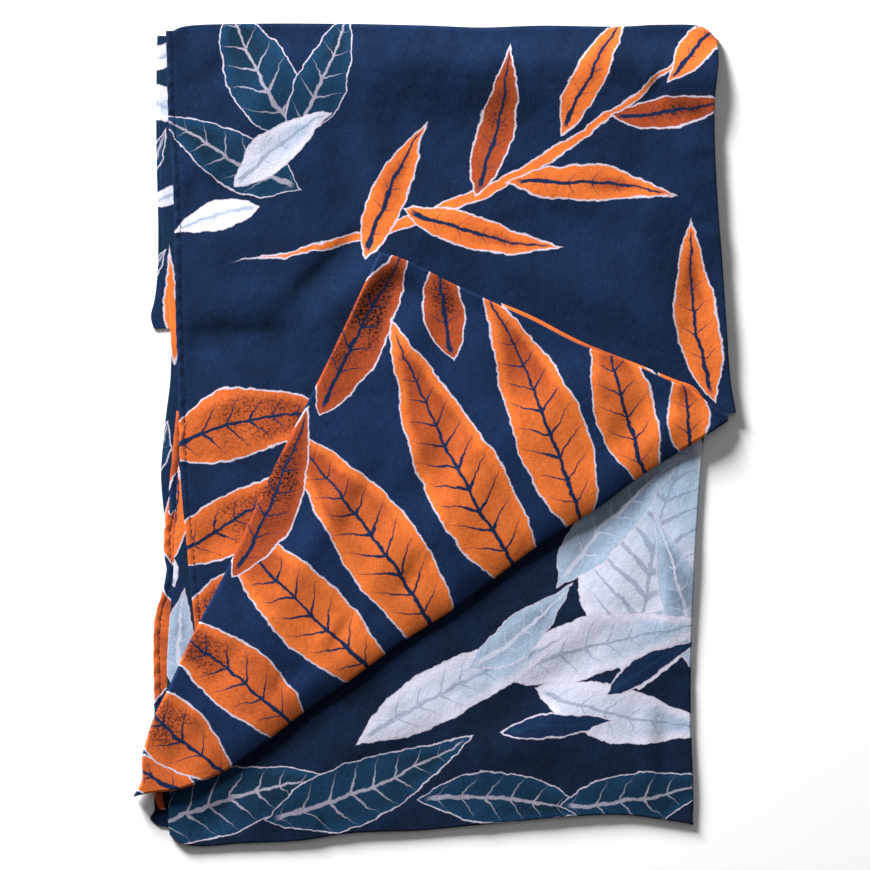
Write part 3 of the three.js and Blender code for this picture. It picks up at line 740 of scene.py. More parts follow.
def panel(plan, top, steps, folds, layers):
    """A panel folded down, layer over layer, at its right edge and at its top or bottom edge."""
    columns, rows = steps
    angles = fold_angles()
    count = len(angles)
    down, valleys = fold_rise(angles), layered(angles, layers)
    right, above, below = (folds.get(side, 0) for side in ("right", "top", "bottom"))
    rise_u, rise_v = np.ones(columns + 1), np.ones(rows + 1)
    inset_u, inset_v = np.zeros(columns + 1), np.zeros(rows + 1)
    share_u, share_v = np.linspace(0, 1, columns + 1), np.linspace(0, 1, rows + 1)
    if right:
        inset_u = np.concatenate([inset_u, right * (1 - np.cos(angles)) + valleys])
        rise_u = np.concatenate([rise_u, down])
        share_u = np.concatenate([share_u, np.ones(count)])
    if above:
        inset_v = np.concatenate([inset_v, above * (1 - np.cos(angles)) + valleys])
        rise_v = np.concatenate([rise_v, down])
        share_v = np.concatenate([share_v, np.ones(count)])
    if below:
        inset_v = np.concatenate([(below * (1 - np.cos(angles)) + valleys)[::-1], inset_v])
        rise_v = np.concatenate([down[::-1], rise_v])
        share_v = np.concatenate([np.zeros(count), share_v])
    u, v = np.meshgrid(share_u, share_v, indexing="ij")
    width, height = plan.width(v), plan.height(u)
    at_u = np.where((rise_u < 1)[:, None], 1 - inset_u[:, None] / width, u * (1 - right / width))
    flat_v = (below + v * (height - above - below)) / height
    turned_v = inset_v[None, :] / height
    turned_v = np.where(v > 0.5, 1 - turned_v, turned_v)
    place = plan.at(at_u, np.where((rise_v < 1)[None, :], turned_v, flat_v))
    share = rise_u[:, None] * rise_v[None, :]
    z = mix(FOLD_FOOT, top(place[..., 0], place[..., 1]), share)
    points = np.dstack([place, z])
    return points, flat_cloth(points, rise_u, rise_v)


def flat_cloth(points, rise_u, rise_v):
    """The plan as flat cloth, carried on around the folds by the distance along the surface."""
    cloth = points[..., :2].copy()
    for i in np.flatnonzero(rise_u < 1):
        run = np.linalg.norm(points[i] - points[i - 1], axis=-1)
        cloth[i] = cloth[i - 1] + np.stack([run, run * 0], axis=-1)
    turned = np.flatnonzero(rise_v < 1)
    downward = len(turned) and turned[0] == 0
    for j in turned[::-1] if downward else turned:
        beside = j + 1 if downward else j - 1
        run = np.linalg.norm(points[:, j] - points[:, beside], axis=-1)
        step = np.stack([run * 0, run], axis=-1)
        cloth[:, j] = cloth[:, beside] - step if downward else cloth[:, beside] + step
    return cloth


# Shader nodes

def feed(tree, socket, source):
    if isinstance(source, bpy.types.NodeSocket):
        tree.links.new(source, socket)
    elif source is not None:
        socket.default_value = source


def add_node(tree, kind, *sources, **settings):
    made = tree.nodes.new(kind)
    for key, value in settings.items():
        setattr(made, key, value)
    for socket, source in zip(made.inputs, sources):
        feed(tree, socket, source)
    return made


def calc(tree, operation, *sources):
    return add_node(tree, "ShaderNodeMath", *sources, operation=operation).outputs[0]


def times(tree, one, two):
    return calc(tree, "MULTIPLY", one, two)


def less(tree, one, two):
    return calc(tree, "SUBTRACT", one, two)


def times_plus(tree, one, two, three):
    return calc(tree, "MULTIPLY_ADD", one, two, three)


def step_between(tree, value, low, high):
    """From 0 at low to 1 at high, softly."""
    made = add_node(
        tree, "ShaderNodeMapRange", value, low, high, 0.0, 1.0, interpolation_type="SMOOTHSTEP"
    )
    return made.outputs[0]


def blend(tree, factor, under, over):
    made = tree.nodes.new("ShaderNodeMix")
    made.data_type = "RGBA"
    feed(tree, made.inputs[0], factor)
    feed(tree, made.inputs[6], under)
    feed(tree, made.inputs[7], over)
    return made.outputs[2]


def noise(tree, vector, scale, detail=2.0, rough=0.5):
    made = add_node(tree, "ShaderNodeTexNoise", vector)
    made.inputs["Scale"].default_value = scale
    made.inputs["Detail"].default_value = detail
    made.inputs["Roughness"].default_value = rough
    return made


def stretched(tree, vector, sizes, turn=0.0):
    made = add_node(tree, "ShaderNodeMapping", vector, vector_type="TEXTURE")
    made.inputs["Rotation"].default_value = (0, 0, math.radians(turn))
    made.inputs["Scale"].default_value = sizes
    return made.outputs[0]


def new_group(name, inputs, outputs):
    group = bpy.data.node_groups.new(name, "ShaderNodeTree")
    kinds = {"float": "NodeSocketFloat", "vector": "NodeSocketVector", "colour": "NodeSocketColor"}
    for label, kind in inputs.items():
        group.interface.new_socket(name=label, in_out="INPUT", socket_type=kinds[kind])
    for label, kind in outputs.items():
        group.interface.new_socket(name=label, in_out="OUTPUT", socket_type=kinds[kind])
    source = group.nodes.new("NodeGroupInput")
    result = group.nodes.new("NodeGroupOutput")
    return group, source.outputs, result.inputs


# A printed leaf, in millimetres of cloth: soft edges, how its width falls towards the tip, the
# spacing and slant of its side veins, and where its shade and its speckle begin and end along it
PRINT_SOFT = 0.3
LEAF_TAPER, LEAF_LEAST = -0.38, 0.4
SHADE_DEPTH = (-1.0, -7.0)
SHADE_SPAN, SHADE_LEAST = (0.25, 1.0), 0.24
SPECKLE_SPAN = (0.0, 0.6)
SPECKLE_CUT = (0.505, 0.565)
MIDRIB_TAPER, MIDRIB_HALF = -0.45, 0.85
VEIN_PITCH, VEIN_SLANT = 6.5, -0.75
VEIN_TAPER, VEIN_THIN = -0.06, -0.12
VEIN_END = (0.9, 0.7)


def make_leaf_group():
    """One leaf printed over a ground: a body with shaded end, veins, speckle and a pale outline."""
    group, given, result = new_group(
        "printed_leaf",
        {
            "Ground": "colour", "Cloth": "vector", "Place": "vector", "Turn": "vector",
            "Half Size": "vector", "Bend": "float", "Body": "colour", "Shade": "colour",
            "Outline": "colour", "Outline Width": "float", "Vein": "colour",
            "Vein Strength": "float", "Speckle": "float", "Grain": "float", "Cloud": "float",
        },
        {"Colour": "colour"},
    )
    where = [given[label] for label in ("Cloth", "Place", "Turn", "Half Size")]
    local = add_node(group, "ShaderNodeMapping", *where, vector_type="TEXTURE").outputs[0]
    along, beside, _ = add_node(group, "ShaderNodeSeparateXYZ", local).outputs
    half_long, half_wide, _ = add_node(group, "ShaderNodeSeparateXYZ", given["Half Size"]).outputs
    squared = times(group, along, along)
    side = calc(group, "ABSOLUTE", times_plus(group, squared, given["Bend"], beside))
    swell = calc(group, "MAXIMUM", times_plus(group, along, LEAF_TAPER, 1.0), LEAF_LEAST)
    profile = times(group, less(group, 1.0, squared), swell)
    outside = times(group, less(group, side, profile), half_wide)

    def inked(depth):
        return step_between(group, depth, -PRINT_SOFT, PRINT_SOFT)

    rim = inked(less(group, given["Outline Width"], outside))
    fill = step_between(group, outside, 0.25, -0.25)

    # Brighter along its edge, and shaded towards one end, broken up by the cloud
    depth = step_between(group, outside, *SHADE_DEPTH)
    end = times_plus(group, along, 0.9, given["Cloud"])
    tint = step_between(group, end, *SHADE_SPAN)
    tint = times_plus(group, tint, 1 - SHADE_LEAST, SHADE_LEAST)
    body = blend(group, times(group, tint, depth), given["Body"], given["Shade"])
    dense = times_plus(group, given["Cloud"], 0.3, less(group, given["Grain"], 0.15))
    speck = step_between(group, dense, *SPECKLE_CUT)
    speck = times(group, speck, step_between(group, end, *SPECKLE_SPAN))
    speck = times(group, times(group, speck, depth), given["Speckle"])
    body = blend(group, speck, body, INK)

    # Midrib and slanting side veins, which stop short of the edge
    across = times(group, side, half_wide)
    midrib = inked(less(group, times_plus(group, along, MIDRIB_TAPER, MIDRIB_HALF), across))
    slant = times_plus(group, across, VEIN_SLANT, times(group, along, half_long))
    wave = calc(group, "PINGPONG", slant, VEIN_PITCH)
    vein = inked(less(group, times_plus(group, outside, VEIN_TAPER, VEIN_THIN), wave))
    veins = calc(group, "MAXIMUM", midrib, vein)
    veins = times(group, veins, step_between(group, squared, *VEIN_END))
    body = blend(group, times(group, veins, given["Vein Strength"]), body, given["Vein"])

    colour = blend(group, rim, given["Ground"], given["Outline"])
    feed(group, result["Colour"], blend(group, fill, colour, body))
    return group


# The weave's sizes in millimetres of cloth, and how strongly each part of it tells
WEFT_SLUB, WARP_SLUB = (2.6, 0.7, 1), (0.7, 4.2, 1)
MOTTLE, NAP, BROAD, LINT_FLECK = (2.2, 2.6, 1), (8, 15, 1), (26, 34, 1), (0.75, 1.0, 1)
CRUMPLE = (13, 17, 1)
THREADS_TELL, MOTTLE_TELL, NAP_TELL, BROAD_TELL = 1.0, 0.5, 0.36, 0.3
BRIGHT_BASE = 0.42
LINT_CUT, LINT_TELL = (0.64, 0.84), 0.4
THREAD_HEIGHT = 0.10
# The weave shows less on pale dyes than on dark ones
PALE_WEAVE = -1.4


def make_weave_group():
    """Fine plain weave: slubs both ways, mottling, lint flecks, and their height in millimetres."""
    group, given, result = new_group(
        "plain_weave",
        {"Cloth": "vector", "Dye": "colour", "Crumple": "float"},
        {"Colour": "colour", "Height": "float"},
    )

    def cloth_noise(sizes, detail, rough, turn=0.0):
        place = stretched(group, given["Cloth"], sizes, turn)
        return noise(group, place, 1.0, detail, rough).outputs[0]

    weft, warp = cloth_noise(WEFT_SLUB, 3.0, 0.6), cloth_noise(WARP_SLUB, 3.0, 0.6)
    threads = less(group, calc(group, "ADD", weft, warp), 1.0)
    bright = times_plus(group, threads, THREADS_TELL, BRIGHT_BASE)
    bright = times_plus(group, cloth_noise(MOTTLE, 3.0, 0.65), MOTTLE_TELL, bright)
    bright = times_plus(group, cloth_noise(NAP, 2.0, 0.6, 8), NAP_TELL, bright)
    bright = times_plus(group, cloth_noise(BROAD, 2.0, 0.5, 24), BROAD_TELL, bright)
    pale = add_node(group, "ShaderNodeRGBToBW", given["Dye"]).outputs[0]
    depth = times_plus(group, pale, PALE_WEAVE, 1.0)
    bright = times_plus(group, less(group, bright, 1.0), depth, 1.0)
    hue = add_node(group, "ShaderNodeHueSaturation")
    feed(group, hue.inputs["Color"], given["Dye"])
    feed(group, hue.inputs["Value"], bright)
    fleck = step_between(group, cloth_noise(LINT_FLECK, 1.0, 0.5, 30), *LINT_CUT)
    fleck = times(group, fleck, LINT_TELL)
    feed(group, result["Colour"], blend(group, fleck, hue.outputs["Color"], LINT))
    height = times(group, threads, THREAD_HEIGHT)
    crumple = cloth_noise(CRUMPLE, 3.0, 0.55, -20)
    feed(group, result["Height"], times_plus(group, crumple, given["Crumple"], height))
    return group


def place_leaf(tree, group, ground, wobbled, grain, cloud, row):
    x, y, turn, long, wide, bend, dye = row
    body, shade, outline, outline_width, vein, strength, speckle = DYES[dye]
    leaf = tree.nodes.new("ShaderNodeGroup")
    leaf.node_tree = group
    sources = {
        "Ground": ground, "Cloth": wobbled, "Place": (x, y, 0), "Turn": (0, 0, math.radians(turn)),
        "Half Size": (long / 2, wide / 2, 1), "Bend": bend, "Body": body, "Shade": shade,
        "Outline": outline, "Outline Width": outline_width, "Vein": vein,
        "Vein Strength": strength, "Speckle": speckle, "Grain": grain, "Cloud": cloud,
    }
    for label, source in sources.items():
        feed(tree, leaf.inputs[label], source)
    return leaf.outputs["Colour"]


# The print's clouds, its speckle, and how its outlines wander: size, reach
CLOUD_SIZE, GRAIN_SIZE = 24, 1.5
WANDER = ((17, 6.0), (3.6, 2.0))


def empty_material(name):
    material = bpy.data.materials.new(name)
    material.use_nodes = True
    material.node_tree.nodes.clear()
    return material, material.node_tree


def printed_cotton(name, groups, ground, deep, leaves, crumple):
    """Matt cotton in one ground colour, printed with leaves. The ground is a dye, except on the
    turned corner, where it is a lighter navy that is painted light.
    """
    leaf_group, weave_group = groups
    material, tree = empty_material(name)
    cloth = add_node(tree, "ShaderNodeUVMap", uv_map="cloth").outputs[0]
    cloud = noise(tree, cloth, 1 / CLOUD_SIZE, 2.0).outputs[0]
    grain = noise(tree, cloth, 1 / GRAIN_SIZE, 3.0, 0.75).outputs[0]
    torn = cloth
    for size, reach in WANDER:
        wobble = add_node(tree, "ShaderNodeVectorMath", operation="SUBTRACT")
        feed(tree, wobble.inputs[0], noise(tree, cloth, 1 / size, 2.0).outputs[1])
        wobble.inputs[1].default_value = (0.5, 0.5, 0.5)
        move = add_node(tree, "ShaderNodeVectorMath", operation="MULTIPLY_ADD")
        feed(tree, move.inputs[0], wobble.outputs[0])
        move.inputs[1].default_value = (reach, reach, 0)
        feed(tree, move.inputs[2], torn)
        torn = move.outputs[0]
    colour = blend(tree, step_between(tree, cloud, 0.35, 0.7), deep, ground)
    for row in leaves:
        colour = place_leaf(tree, leaf_group, colour, torn, grain, cloud, row)
    weave = tree.nodes.new("ShaderNodeGroup")
    weave.node_tree = weave_group
    feed(tree, weave.inputs["Cloth"], cloth)
    feed(tree, weave.inputs["Dye"], colour)
    feed(tree, weave.inputs["Crumple"], crumple)
    finish_material(tree, weave.outputs["Colour"], weave.outputs["Height"])
    return material


def finish_material(tree, colour, height, roughness=0.92, sheen=0.03):
    bump = tree.nodes.new("ShaderNodeBump")
    bump.inputs["Strength"].default_value = 1
    bump.inputs["Distance"].default_value = MM
    feed(tree, bump.inputs["Height"], height)
    shader = tree.nodes.new("ShaderNodeBsdfPrincipled")
    feed(tree, shader.inputs["Base Color"], colour)
    feed(tree, shader.inputs["Normal"], bump.outputs[0])
    shader.inputs["Roughness"].default_value = roughness
    shader.inputs["Specular IOR Level"].default_value = 0.05
    shader.inputs["Sheen Weight"].default_value = sheen
    shader.inputs["Sheen Roughness"].default_value = 0.6
    output = tree.nodes.new("ShaderNodeOutputMaterial")
    tree.links.new(shader.outputs[0], output.inputs[0])


def sewing_thread():
    material, tree = empty_material("sewing_thread")
    place = add_node(tree, "ShaderNodeTexCoord").outputs["Object"]
    twist = noise(tree, place, 3000.0, 1.0).outputs[0]
    colour = blend(tree, step_between(tree, twist, 0.35, 0.7), THREAD, NAVY)
    finish_material(tree, colour, times(tree, twist, 0.05), roughness=0.8)
    return material


# Pieces

def make_cover(material):
    left = Curve(shifted(COVER_LEFT, CLOTH_INSET))
    top_rows = [tuple(left(1.0)), *COVER_TOP[1:]]
    crease = Curve(CREASE)
    foot = crease.beside(np.linspace(COVER_FROM, 1, 13)[1:], CREASE_INSET)
    bottom_rows = [tuple(left(0.0)), *map(tuple, foot), COVER_RIGHT[0]]
    plan = Plan(left, Curve(COVER_RIGHT), Curve(bottom_rows), Curve(top_rows))
    folds = {"right": EDGE_FOLD, "top": FOLD}
    points, cloth = panel(plan, cover_top, COVER_STEPS, folds, COVER_LAYERS)
    piece = thin_cloth("scarf_cover", points, cloth)
    return settle_piece(piece, material, ["cover_panel"]), cloth


def make_hem(name, rows, under, material, nodes, seed):
    """A turned hem: a soft narrow roll, puckered between its stitches."""
    edge = Curve(rows)
    steps = int(edge.length / HEM_STEP)
    share = np.linspace(0, 1, steps + 1)
    line = edge(share)
    run = share * edge.length
    uneven, wave = puckers(run, seed, 0.4)
    puff = uneven * wave
    wander = HEM_WANDER * lattice_noise(run * 0 + 9, run, HEM_WANDER_SIZE, seed)
    points, cloth = [], []
    for inset, up in HEM_SECTION:
        sway = HEM_SWAY * puff * max(0, 1 - inset / HEM_SWAY_REACH) + wander
        x = line[:, 0] + inset + HEM_GIVES * sway * (inset < HEM_SWAY_TO)
        lift = up * (1 + HEM_PUFF * puff * (up > HEM_PUFF_FROM))
        points.append(np.stack([x, line[:, 1], under(x, line[:, 1]) + lift], axis=-1))
        cloth.append(np.stack([line[:, 0] + inset, line[:, 1]], axis=-1))
    points, cloth = np.array(points), np.array(cloth)
    count = len(HEM_SECTION)
    at = np.arange(count * (steps + 1)).reshape(count, steps + 1)
    faces = [
        [at[k, i], at[(k + 1) % count, i], at[(k + 1) % count, i + 1], at[k, i + 1]]
        for k in range(count) for i in range(steps)
    ]
    faces += [list(at[::-1, 0]), list(at[:, steps])]
    piece = link_mesh(name, points.reshape(-1, 3), faces, cloth.reshape(-1, 2))
    choose(piece)
    bpy.ops.object.mode_set(mode="EDIT")
    bpy.ops.mesh.select_all(action="SELECT")
    bpy.ops.mesh.normals_make_consistent(inside=False)
    bpy.ops.object.mode_set(mode="OBJECT")
    bpy.ops.object.shade_smooth_by_angle(angle=HEM_SMOOTH)
    deselect()
    return settle_piece(piece, material, nodes)


def one_stitch():
    """A stitch: a short thread that goes down into the cloth at both ends."""
    deselect()
    bpy.ops.mesh.primitive_uv_sphere_add(segments=8, ring_count=6, radius=0.5)
    stitch = bpy.context.active_object
    bpy.ops.object.mode_set(mode="EDIT")
    bpy.ops.mesh.select_all(action="SELECT")
    bpy.ops.transform.resize(value=(STITCH_THICK, STITCH_LONG, STITCH_THICK))
    bpy.ops.object.mode_set(mode="OBJECT")
    points = np.array([vertex.co[:] for vertex in stitch.data.vertices])
    points[:, 2] -= STITCH_SINK * (2 * points[:, 1] / STITCH_LONG) ** 2
    faces = [tuple(face.vertices) for face in stitch.data.polygons]
    bpy.data.objects.remove(stitch)
    return points, faces


def make_stitches(name, rows, under, lift, material, stitch):
    """The hem's stitches, each a copy laid along the seam."""
    seam = Curve(shifted(rows, SEAM_INSET))
    shape, faces = stitch
    count = int(seam.length / STITCH_PITCH)
    uneven = np.random.default_rng(count).uniform(-1, 1, (count, 2))
    points, all_faces = [], []
    for i in range(count):
        middle = ((i + 0.5) * STITCH_PITCH + STITCH_STRAY * uneven[i, 0]) / seam.length
        x, y = seam(middle)
        ahead = seam(min(middle + 0.002, 1)) - seam(middle - 0.002)
        turn = math.atan2(-ahead[0], ahead[1]) + STITCH_TURN * uneven[i, 1]
        cos, sin = math.cos(turn), math.sin(turn)
        placed = np.stack([
            x + shape[:, 0] * cos - shape[:, 1] * sin,
            y + shape[:, 0] * sin + shape[:, 1] * cos,
            under(x, y) + lift + shape[:, 2],
        ], axis=-1)
        points.append(placed)
        all_faces.extend(tuple(index + i * len(shape) for index in face) for face in faces)
    points = np.concatenate(points)
    piece = link_mesh(name, points, all_faces, points[:, :2])
    choose(piece)
    bpy.ops.object.shade_smooth()
    deselect()
    return settle_piece(piece, material)


def flap_columns(left_rows, right_rows, counts, line, shares, inset):
    """Where the turned cloth's threads start at the crease and where they end."""
    left, right = Curve(left_rows), Curve(right_rows)
    foot_from, foot_apex, foot_to = shares
    left_share = np.linspace(0, 1, counts[0] + 1)
    right_share = np.linspace(0, 1, counts[1] + 1)[1:]
    at = np.concatenate([
        mix(foot_from, foot_apex, left_share), mix(foot_apex, foot_to, right_share),
    ])
    return Curve(line).beside(at, inset), np.vstack([left(left_share), right(right_share)])


def make_turned_corner(material):
    """The turned corner: hidden leg, soft roll of the crease, upper side and folded edges."""
    foot, end = flap_columns(
        FLAP_LEFT, FLAP_RIGHT, FLAP_COLUMNS, [FLAP_TIP, *CREASE], (0, APEX_FOOT, 1), 0)
    turn = end[:, 2]
    toward = end[:, :2] - foot
    length = np.linalg.norm(toward, axis=1)
    toward /= length[:, None]
    roll = np.minimum(ROLL, NARROW_ROLL * length)
    fold = np.minimum(SOFT_FOLD, NARROW_FOLD * length)
    leg = np.minimum(LEG, NARROW_LEG * length)

    def place(s):
        return foot + toward * s[:, None]

    def leg_height(s):
        x, y = place(s).T
        return lower_z(x, y) + PLY

    def height(s):
        """Near its right end the turned cloth comes down to the cover's corner."""
        x, y = place(s).T
        return flap_top(x, y) - CORNER_DROP * ease(x, *CORNER_DROP_SPAN)

    top_start = roll * (1 - math.cos(ROLL_TOP))
    top_end = length - fold
    low, high = leg_height(top_start), height(top_start)
    run, z = [leg], [leg_height(leg)]
    for angle in np.linspace(-math.pi / 2, ROLL_TOP, ROLL_STEPS):
        run.append(roll * (1 - math.cos(angle)))
        z.append(mix(low, high, (1 + math.sin(angle)) / (1 + math.sin(ROLL_TOP))))
    for share in np.linspace(0, 1, TOP_STEPS + 1)[1:]:
        run.append(mix(top_start, top_end, share))
        z.append(height(run[-1]))
    for angle in fold_angles():
        run.append(top_end + fold * math.cos(angle))
        top = height(run[-1])
        z.append(mix(top - WALL - turn, top, fold_rise(angle)))
    points = np.stack([np.column_stack([place(s), up]) for s, up in zip(run, z)], axis=1)

    # Flat cloth: the plan on top, carried on by distance around the roll and the far fold
    distance = np.stack(run, axis=1)
    step = np.linalg.norm(np.diff(points, axis=1), axis=-1)
    for j in range(ROLL_STEPS - 1, -1, -1):
        distance[:, j] = distance[:, j + 1] - step[:, j]
    for j in range(ROLL_STEPS + TOP_STEPS + 1, points.shape[1]):
        distance[:, j] = distance[:, j - 1] + step[:, j - 1]
    cloth = foot[:, None, :] + toward[:, None, :] * distance[..., None]
    piece = thin_cloth("turned_corner", points, cloth)
    return settle_piece(piece, material, ["turned_flap"]), cloth


def make_inner_corner(material):
    """The corner's second layer, which shows as a narrow edge beside the first."""
    foot, end = flap_columns(
        INNER_LEFT, INNER_RIGHT, (INNER_STEPS, INNER_STEPS), CREASE,
        (INNER_FROM, APEX_FOOT, INNER_TO), CREASE_INSET)
    share = np.linspace(0, 1, INNER_STEPS + 1)[None, :, None]
    place = mix(foot[:, None, :], end[:, None, :2], share)
    x, y = place[..., 0], place[..., 1]
    z = cover_z(x, y) + PLY + WALL - 0.1 + upper_form(x, y)
    z = z - INNER_EDGE_DROP * ease(share[..., 0], 0.975, 1.0)
    piece = thin_cloth("inner_corner", np.dstack([place, z]), place)
    return settle_piece(piece, material, ["flap_inner_layer"]), place


def make_lower(material):
    plan = Plan(Curve(LOWER_LEFT), Curve(LOWER_RIGHT), Curve(LOWER_BOTTOM), Curve(LOWER_TOP))
    folds = {"bottom": EDGE_FOLD, "right": EDGE_FOLD}
    points, cloth = panel(plan, lower_top, LOWER_STEPS, folds, LOWER_LAYERS)
    piece = thin_cloth("lower_cloth", points, cloth)
    return settle_piece(piece, material, ["lower_panel"]), cloth


def make_folded_strip(name, rows, under, inner_low, inner_end, material, slot, node, seed):
    """A layer whose outer edge is folded under itself."""
    edge = Curve(rows)
    steps = max(8, int(edge.length / STRIP_STEP))
    share = np.linspace(0, 1, steps + 1)
    line = edge(share)
    inner = np.stack([share * 0 + inner_end, mix(inner_low, rows[-1][1], share)], axis=-1)
    toward = inner - line
    reach = np.linalg.norm(toward, axis=1)
    toward /= reach[:, None]
    radius = WALL / 2
    sway = EDGE_PUFF * (1 + lattice_noise(line[:, 0], line[:, 1], EDGE_PUFF_SIZE, seed))
    sections = [(reach * 0 + radius + EDGE_RETURN, 0.0)]
    for angle in EDGE_TURN:
        sections.append((reach * 0 + radius * (1 - math.cos(angle)), 0.5 + 0.5 * math.sin(angle)))
    for part in FOLDED_SHARES:
        sections.append((mix(radius, reach, part), 1.0))
    points, cloth = [], []
    for s, up in sections:
        place = line + toward * s[:, None]
        thick = WALL - EDGE_SINK + sway * np.exp(-s / EDGE_PUFF_REACH)
        points.append(np.column_stack([place, under(*place.T) + up * thick + EDGE_CLEAR]))
        cloth.append(place)
    points, cloth = np.array(points), np.array(cloth)
    run = np.linalg.norm(np.diff(points, axis=0), axis=-1)
    for i in range(len(EDGE_TURN) - 1, -1, -1):
        cloth[i] = cloth[i + 1] - toward * run[i][:, None]
    piece = thin_cloth(name, points, cloth, STRIP_CLOTH)
    return settle_piece(piece, material, [node]), cloth


def make_hemmed_strip(name, rows, under, inner_low, material, node, seed):
    """A layer that ends in a stitched hem."""
    edge = Curve(shifted(rows, CLOTH_INSET))
    share = np.linspace(0, 1, int(edge.length / STRIP_STEP) + 1)
    line = edge(share)
    inner = np.stack([share * 0 + STRIP_END, mix(inner_low, rows[-1][1], share)], axis=-1)
    place = mix(line[None], inner[None], HEMMED_SHARES[:, None, None])
    inside = HEMMED_SHARES[:, None] * np.linalg.norm(inner - line, axis=1)[None]
    gather = 0.5 + 0.5 * np.sin(2 * np.pi * line[:, 1] / PUCKER_PITCH)
    dip = HEMMED_DIP * np.exp(-inside / HEMMED_DIP_REACH)
    dip = dip + HEMMED_GATHER * gather[None] * np.exp(-inside / HEMMED_GATHER_REACH)
    x, y = place[..., 0], place[..., 1]
    uneven = HEMMED_UNEVEN * lattice_noise(x, y, HEMMED_SIZE, seed)
    z = under(x, y) + WALL - HEMMED_SINK - dip + uneven
    piece = thin_cloth(name, np.dstack([place, z]), place, STRIP_CLOTH)
    return settle_piece(piece, material, [node]), place


def stack_slab(outline, low, high, inset, steps):
    """One hidden layer: a closed slab with rounded edges between two heights."""
    bottom, top = Curve(outline["bottom"]), Curve(outline["top"])
    left = straight(bottom(0.0), top(0.0))
    right = Curve(outline["right"]) if "right" in outline else straight(bottom(1.0), top(1.0))
    plan = Plan(left, right, bottom, top)
    columns, rows = steps
    u, v = np.meshgrid(np.linspace(0, 1, columns + 1), np.linspace(0, 1, rows + 1), indexing="ij")
    width, height = plan.width(v), plan.height(u)
    rings = []
    for angle in np.radians([-90, -60, -30, 0, 30, 60, 90]):
        rim = inset + SLAB_ROUND * (1 - math.cos(angle))
        at_u = (rim + u * (width - 2 * rim)) / width
        at_v = (rim + v * (height - 2 * rim)) / height
        place = plan.at(at_u, at_v)
        base, peak = low(place[..., 0], place[..., 1]), high(place[..., 0], place[..., 1])
        rings.append(np.dstack([place, mix(base, peak, 0.5 + 0.5 * math.sin(angle))]))
    return rings


def make_hidden(material):
    """The hidden layers, each a slab set in a little differently from the next."""
    def part_of(top, share, gap):
        return lambda x, y: (top(x, y) - WALL - STACK_CLEAR) * share + gap

    slabs = []
    for outline, top, rows, gap, steps in (
        (UPPER_STACK, cover_top, UPPER_SLABS, -0.1, (40, 44)),
        (LOWER_STACK, lower_top, LOWER_SLABS, -0.06, (50, 24)),
    ):
        for share_low, share_high, inset in rows:
            low, high = part_of(top, share_low, 0.02), part_of(top, share_high, gap)
            slabs.append((stack_slab(outline, low, high, inset, steps), steps))
    points, faces = [], []
    start = 0
    for rings, (columns, rows) in slabs:
        size = (columns + 1) * (rows + 1)
        at = np.arange(size).reshape(columns + 1, rows + 1)
        rim = np.concatenate([at[:, 0], at[-1, 1:], at[-2::-1, -1], at[0, -2:0:-1]])
        points.append(rings[0].reshape(-1, 3))
        faces.extend((grid_faces(columns + 1, rows + 1)[:, ::-1] + start).tolist())
        lower = rim + start
        start += size
        for ring in rings[1:-1]:
            points.append(ring.reshape(-1, 3)[rim])
            upper = np.arange(len(rim)) + start
            faces.extend(band(lower, upper))
            lower = upper
            start += len(rim)
        points.append(rings[-1].reshape(-1, 3))
        faces.extend(band(lower, rim + start))
        faces.extend((grid_faces(columns + 1, rows + 1) + start).tolist())
        start += size
    points = np.concatenate(points)
    piece = link_mesh("folded_layers", points, faces, points[:, :2])
    choose(piece)
    bpy.ops.object.shade_smooth_by_angle(angle=SMOOTH_BELOW)
    deselect()
    return settle_piece(piece, material, ["hidden_layers"])


def band(lower, upper):
    """Faces between two closed rings of points."""
    after = np.roll(np.arange(len(lower)), -1)
    return np.stack([lower, lower[after], upper[after], upper], axis=-1).tolist()


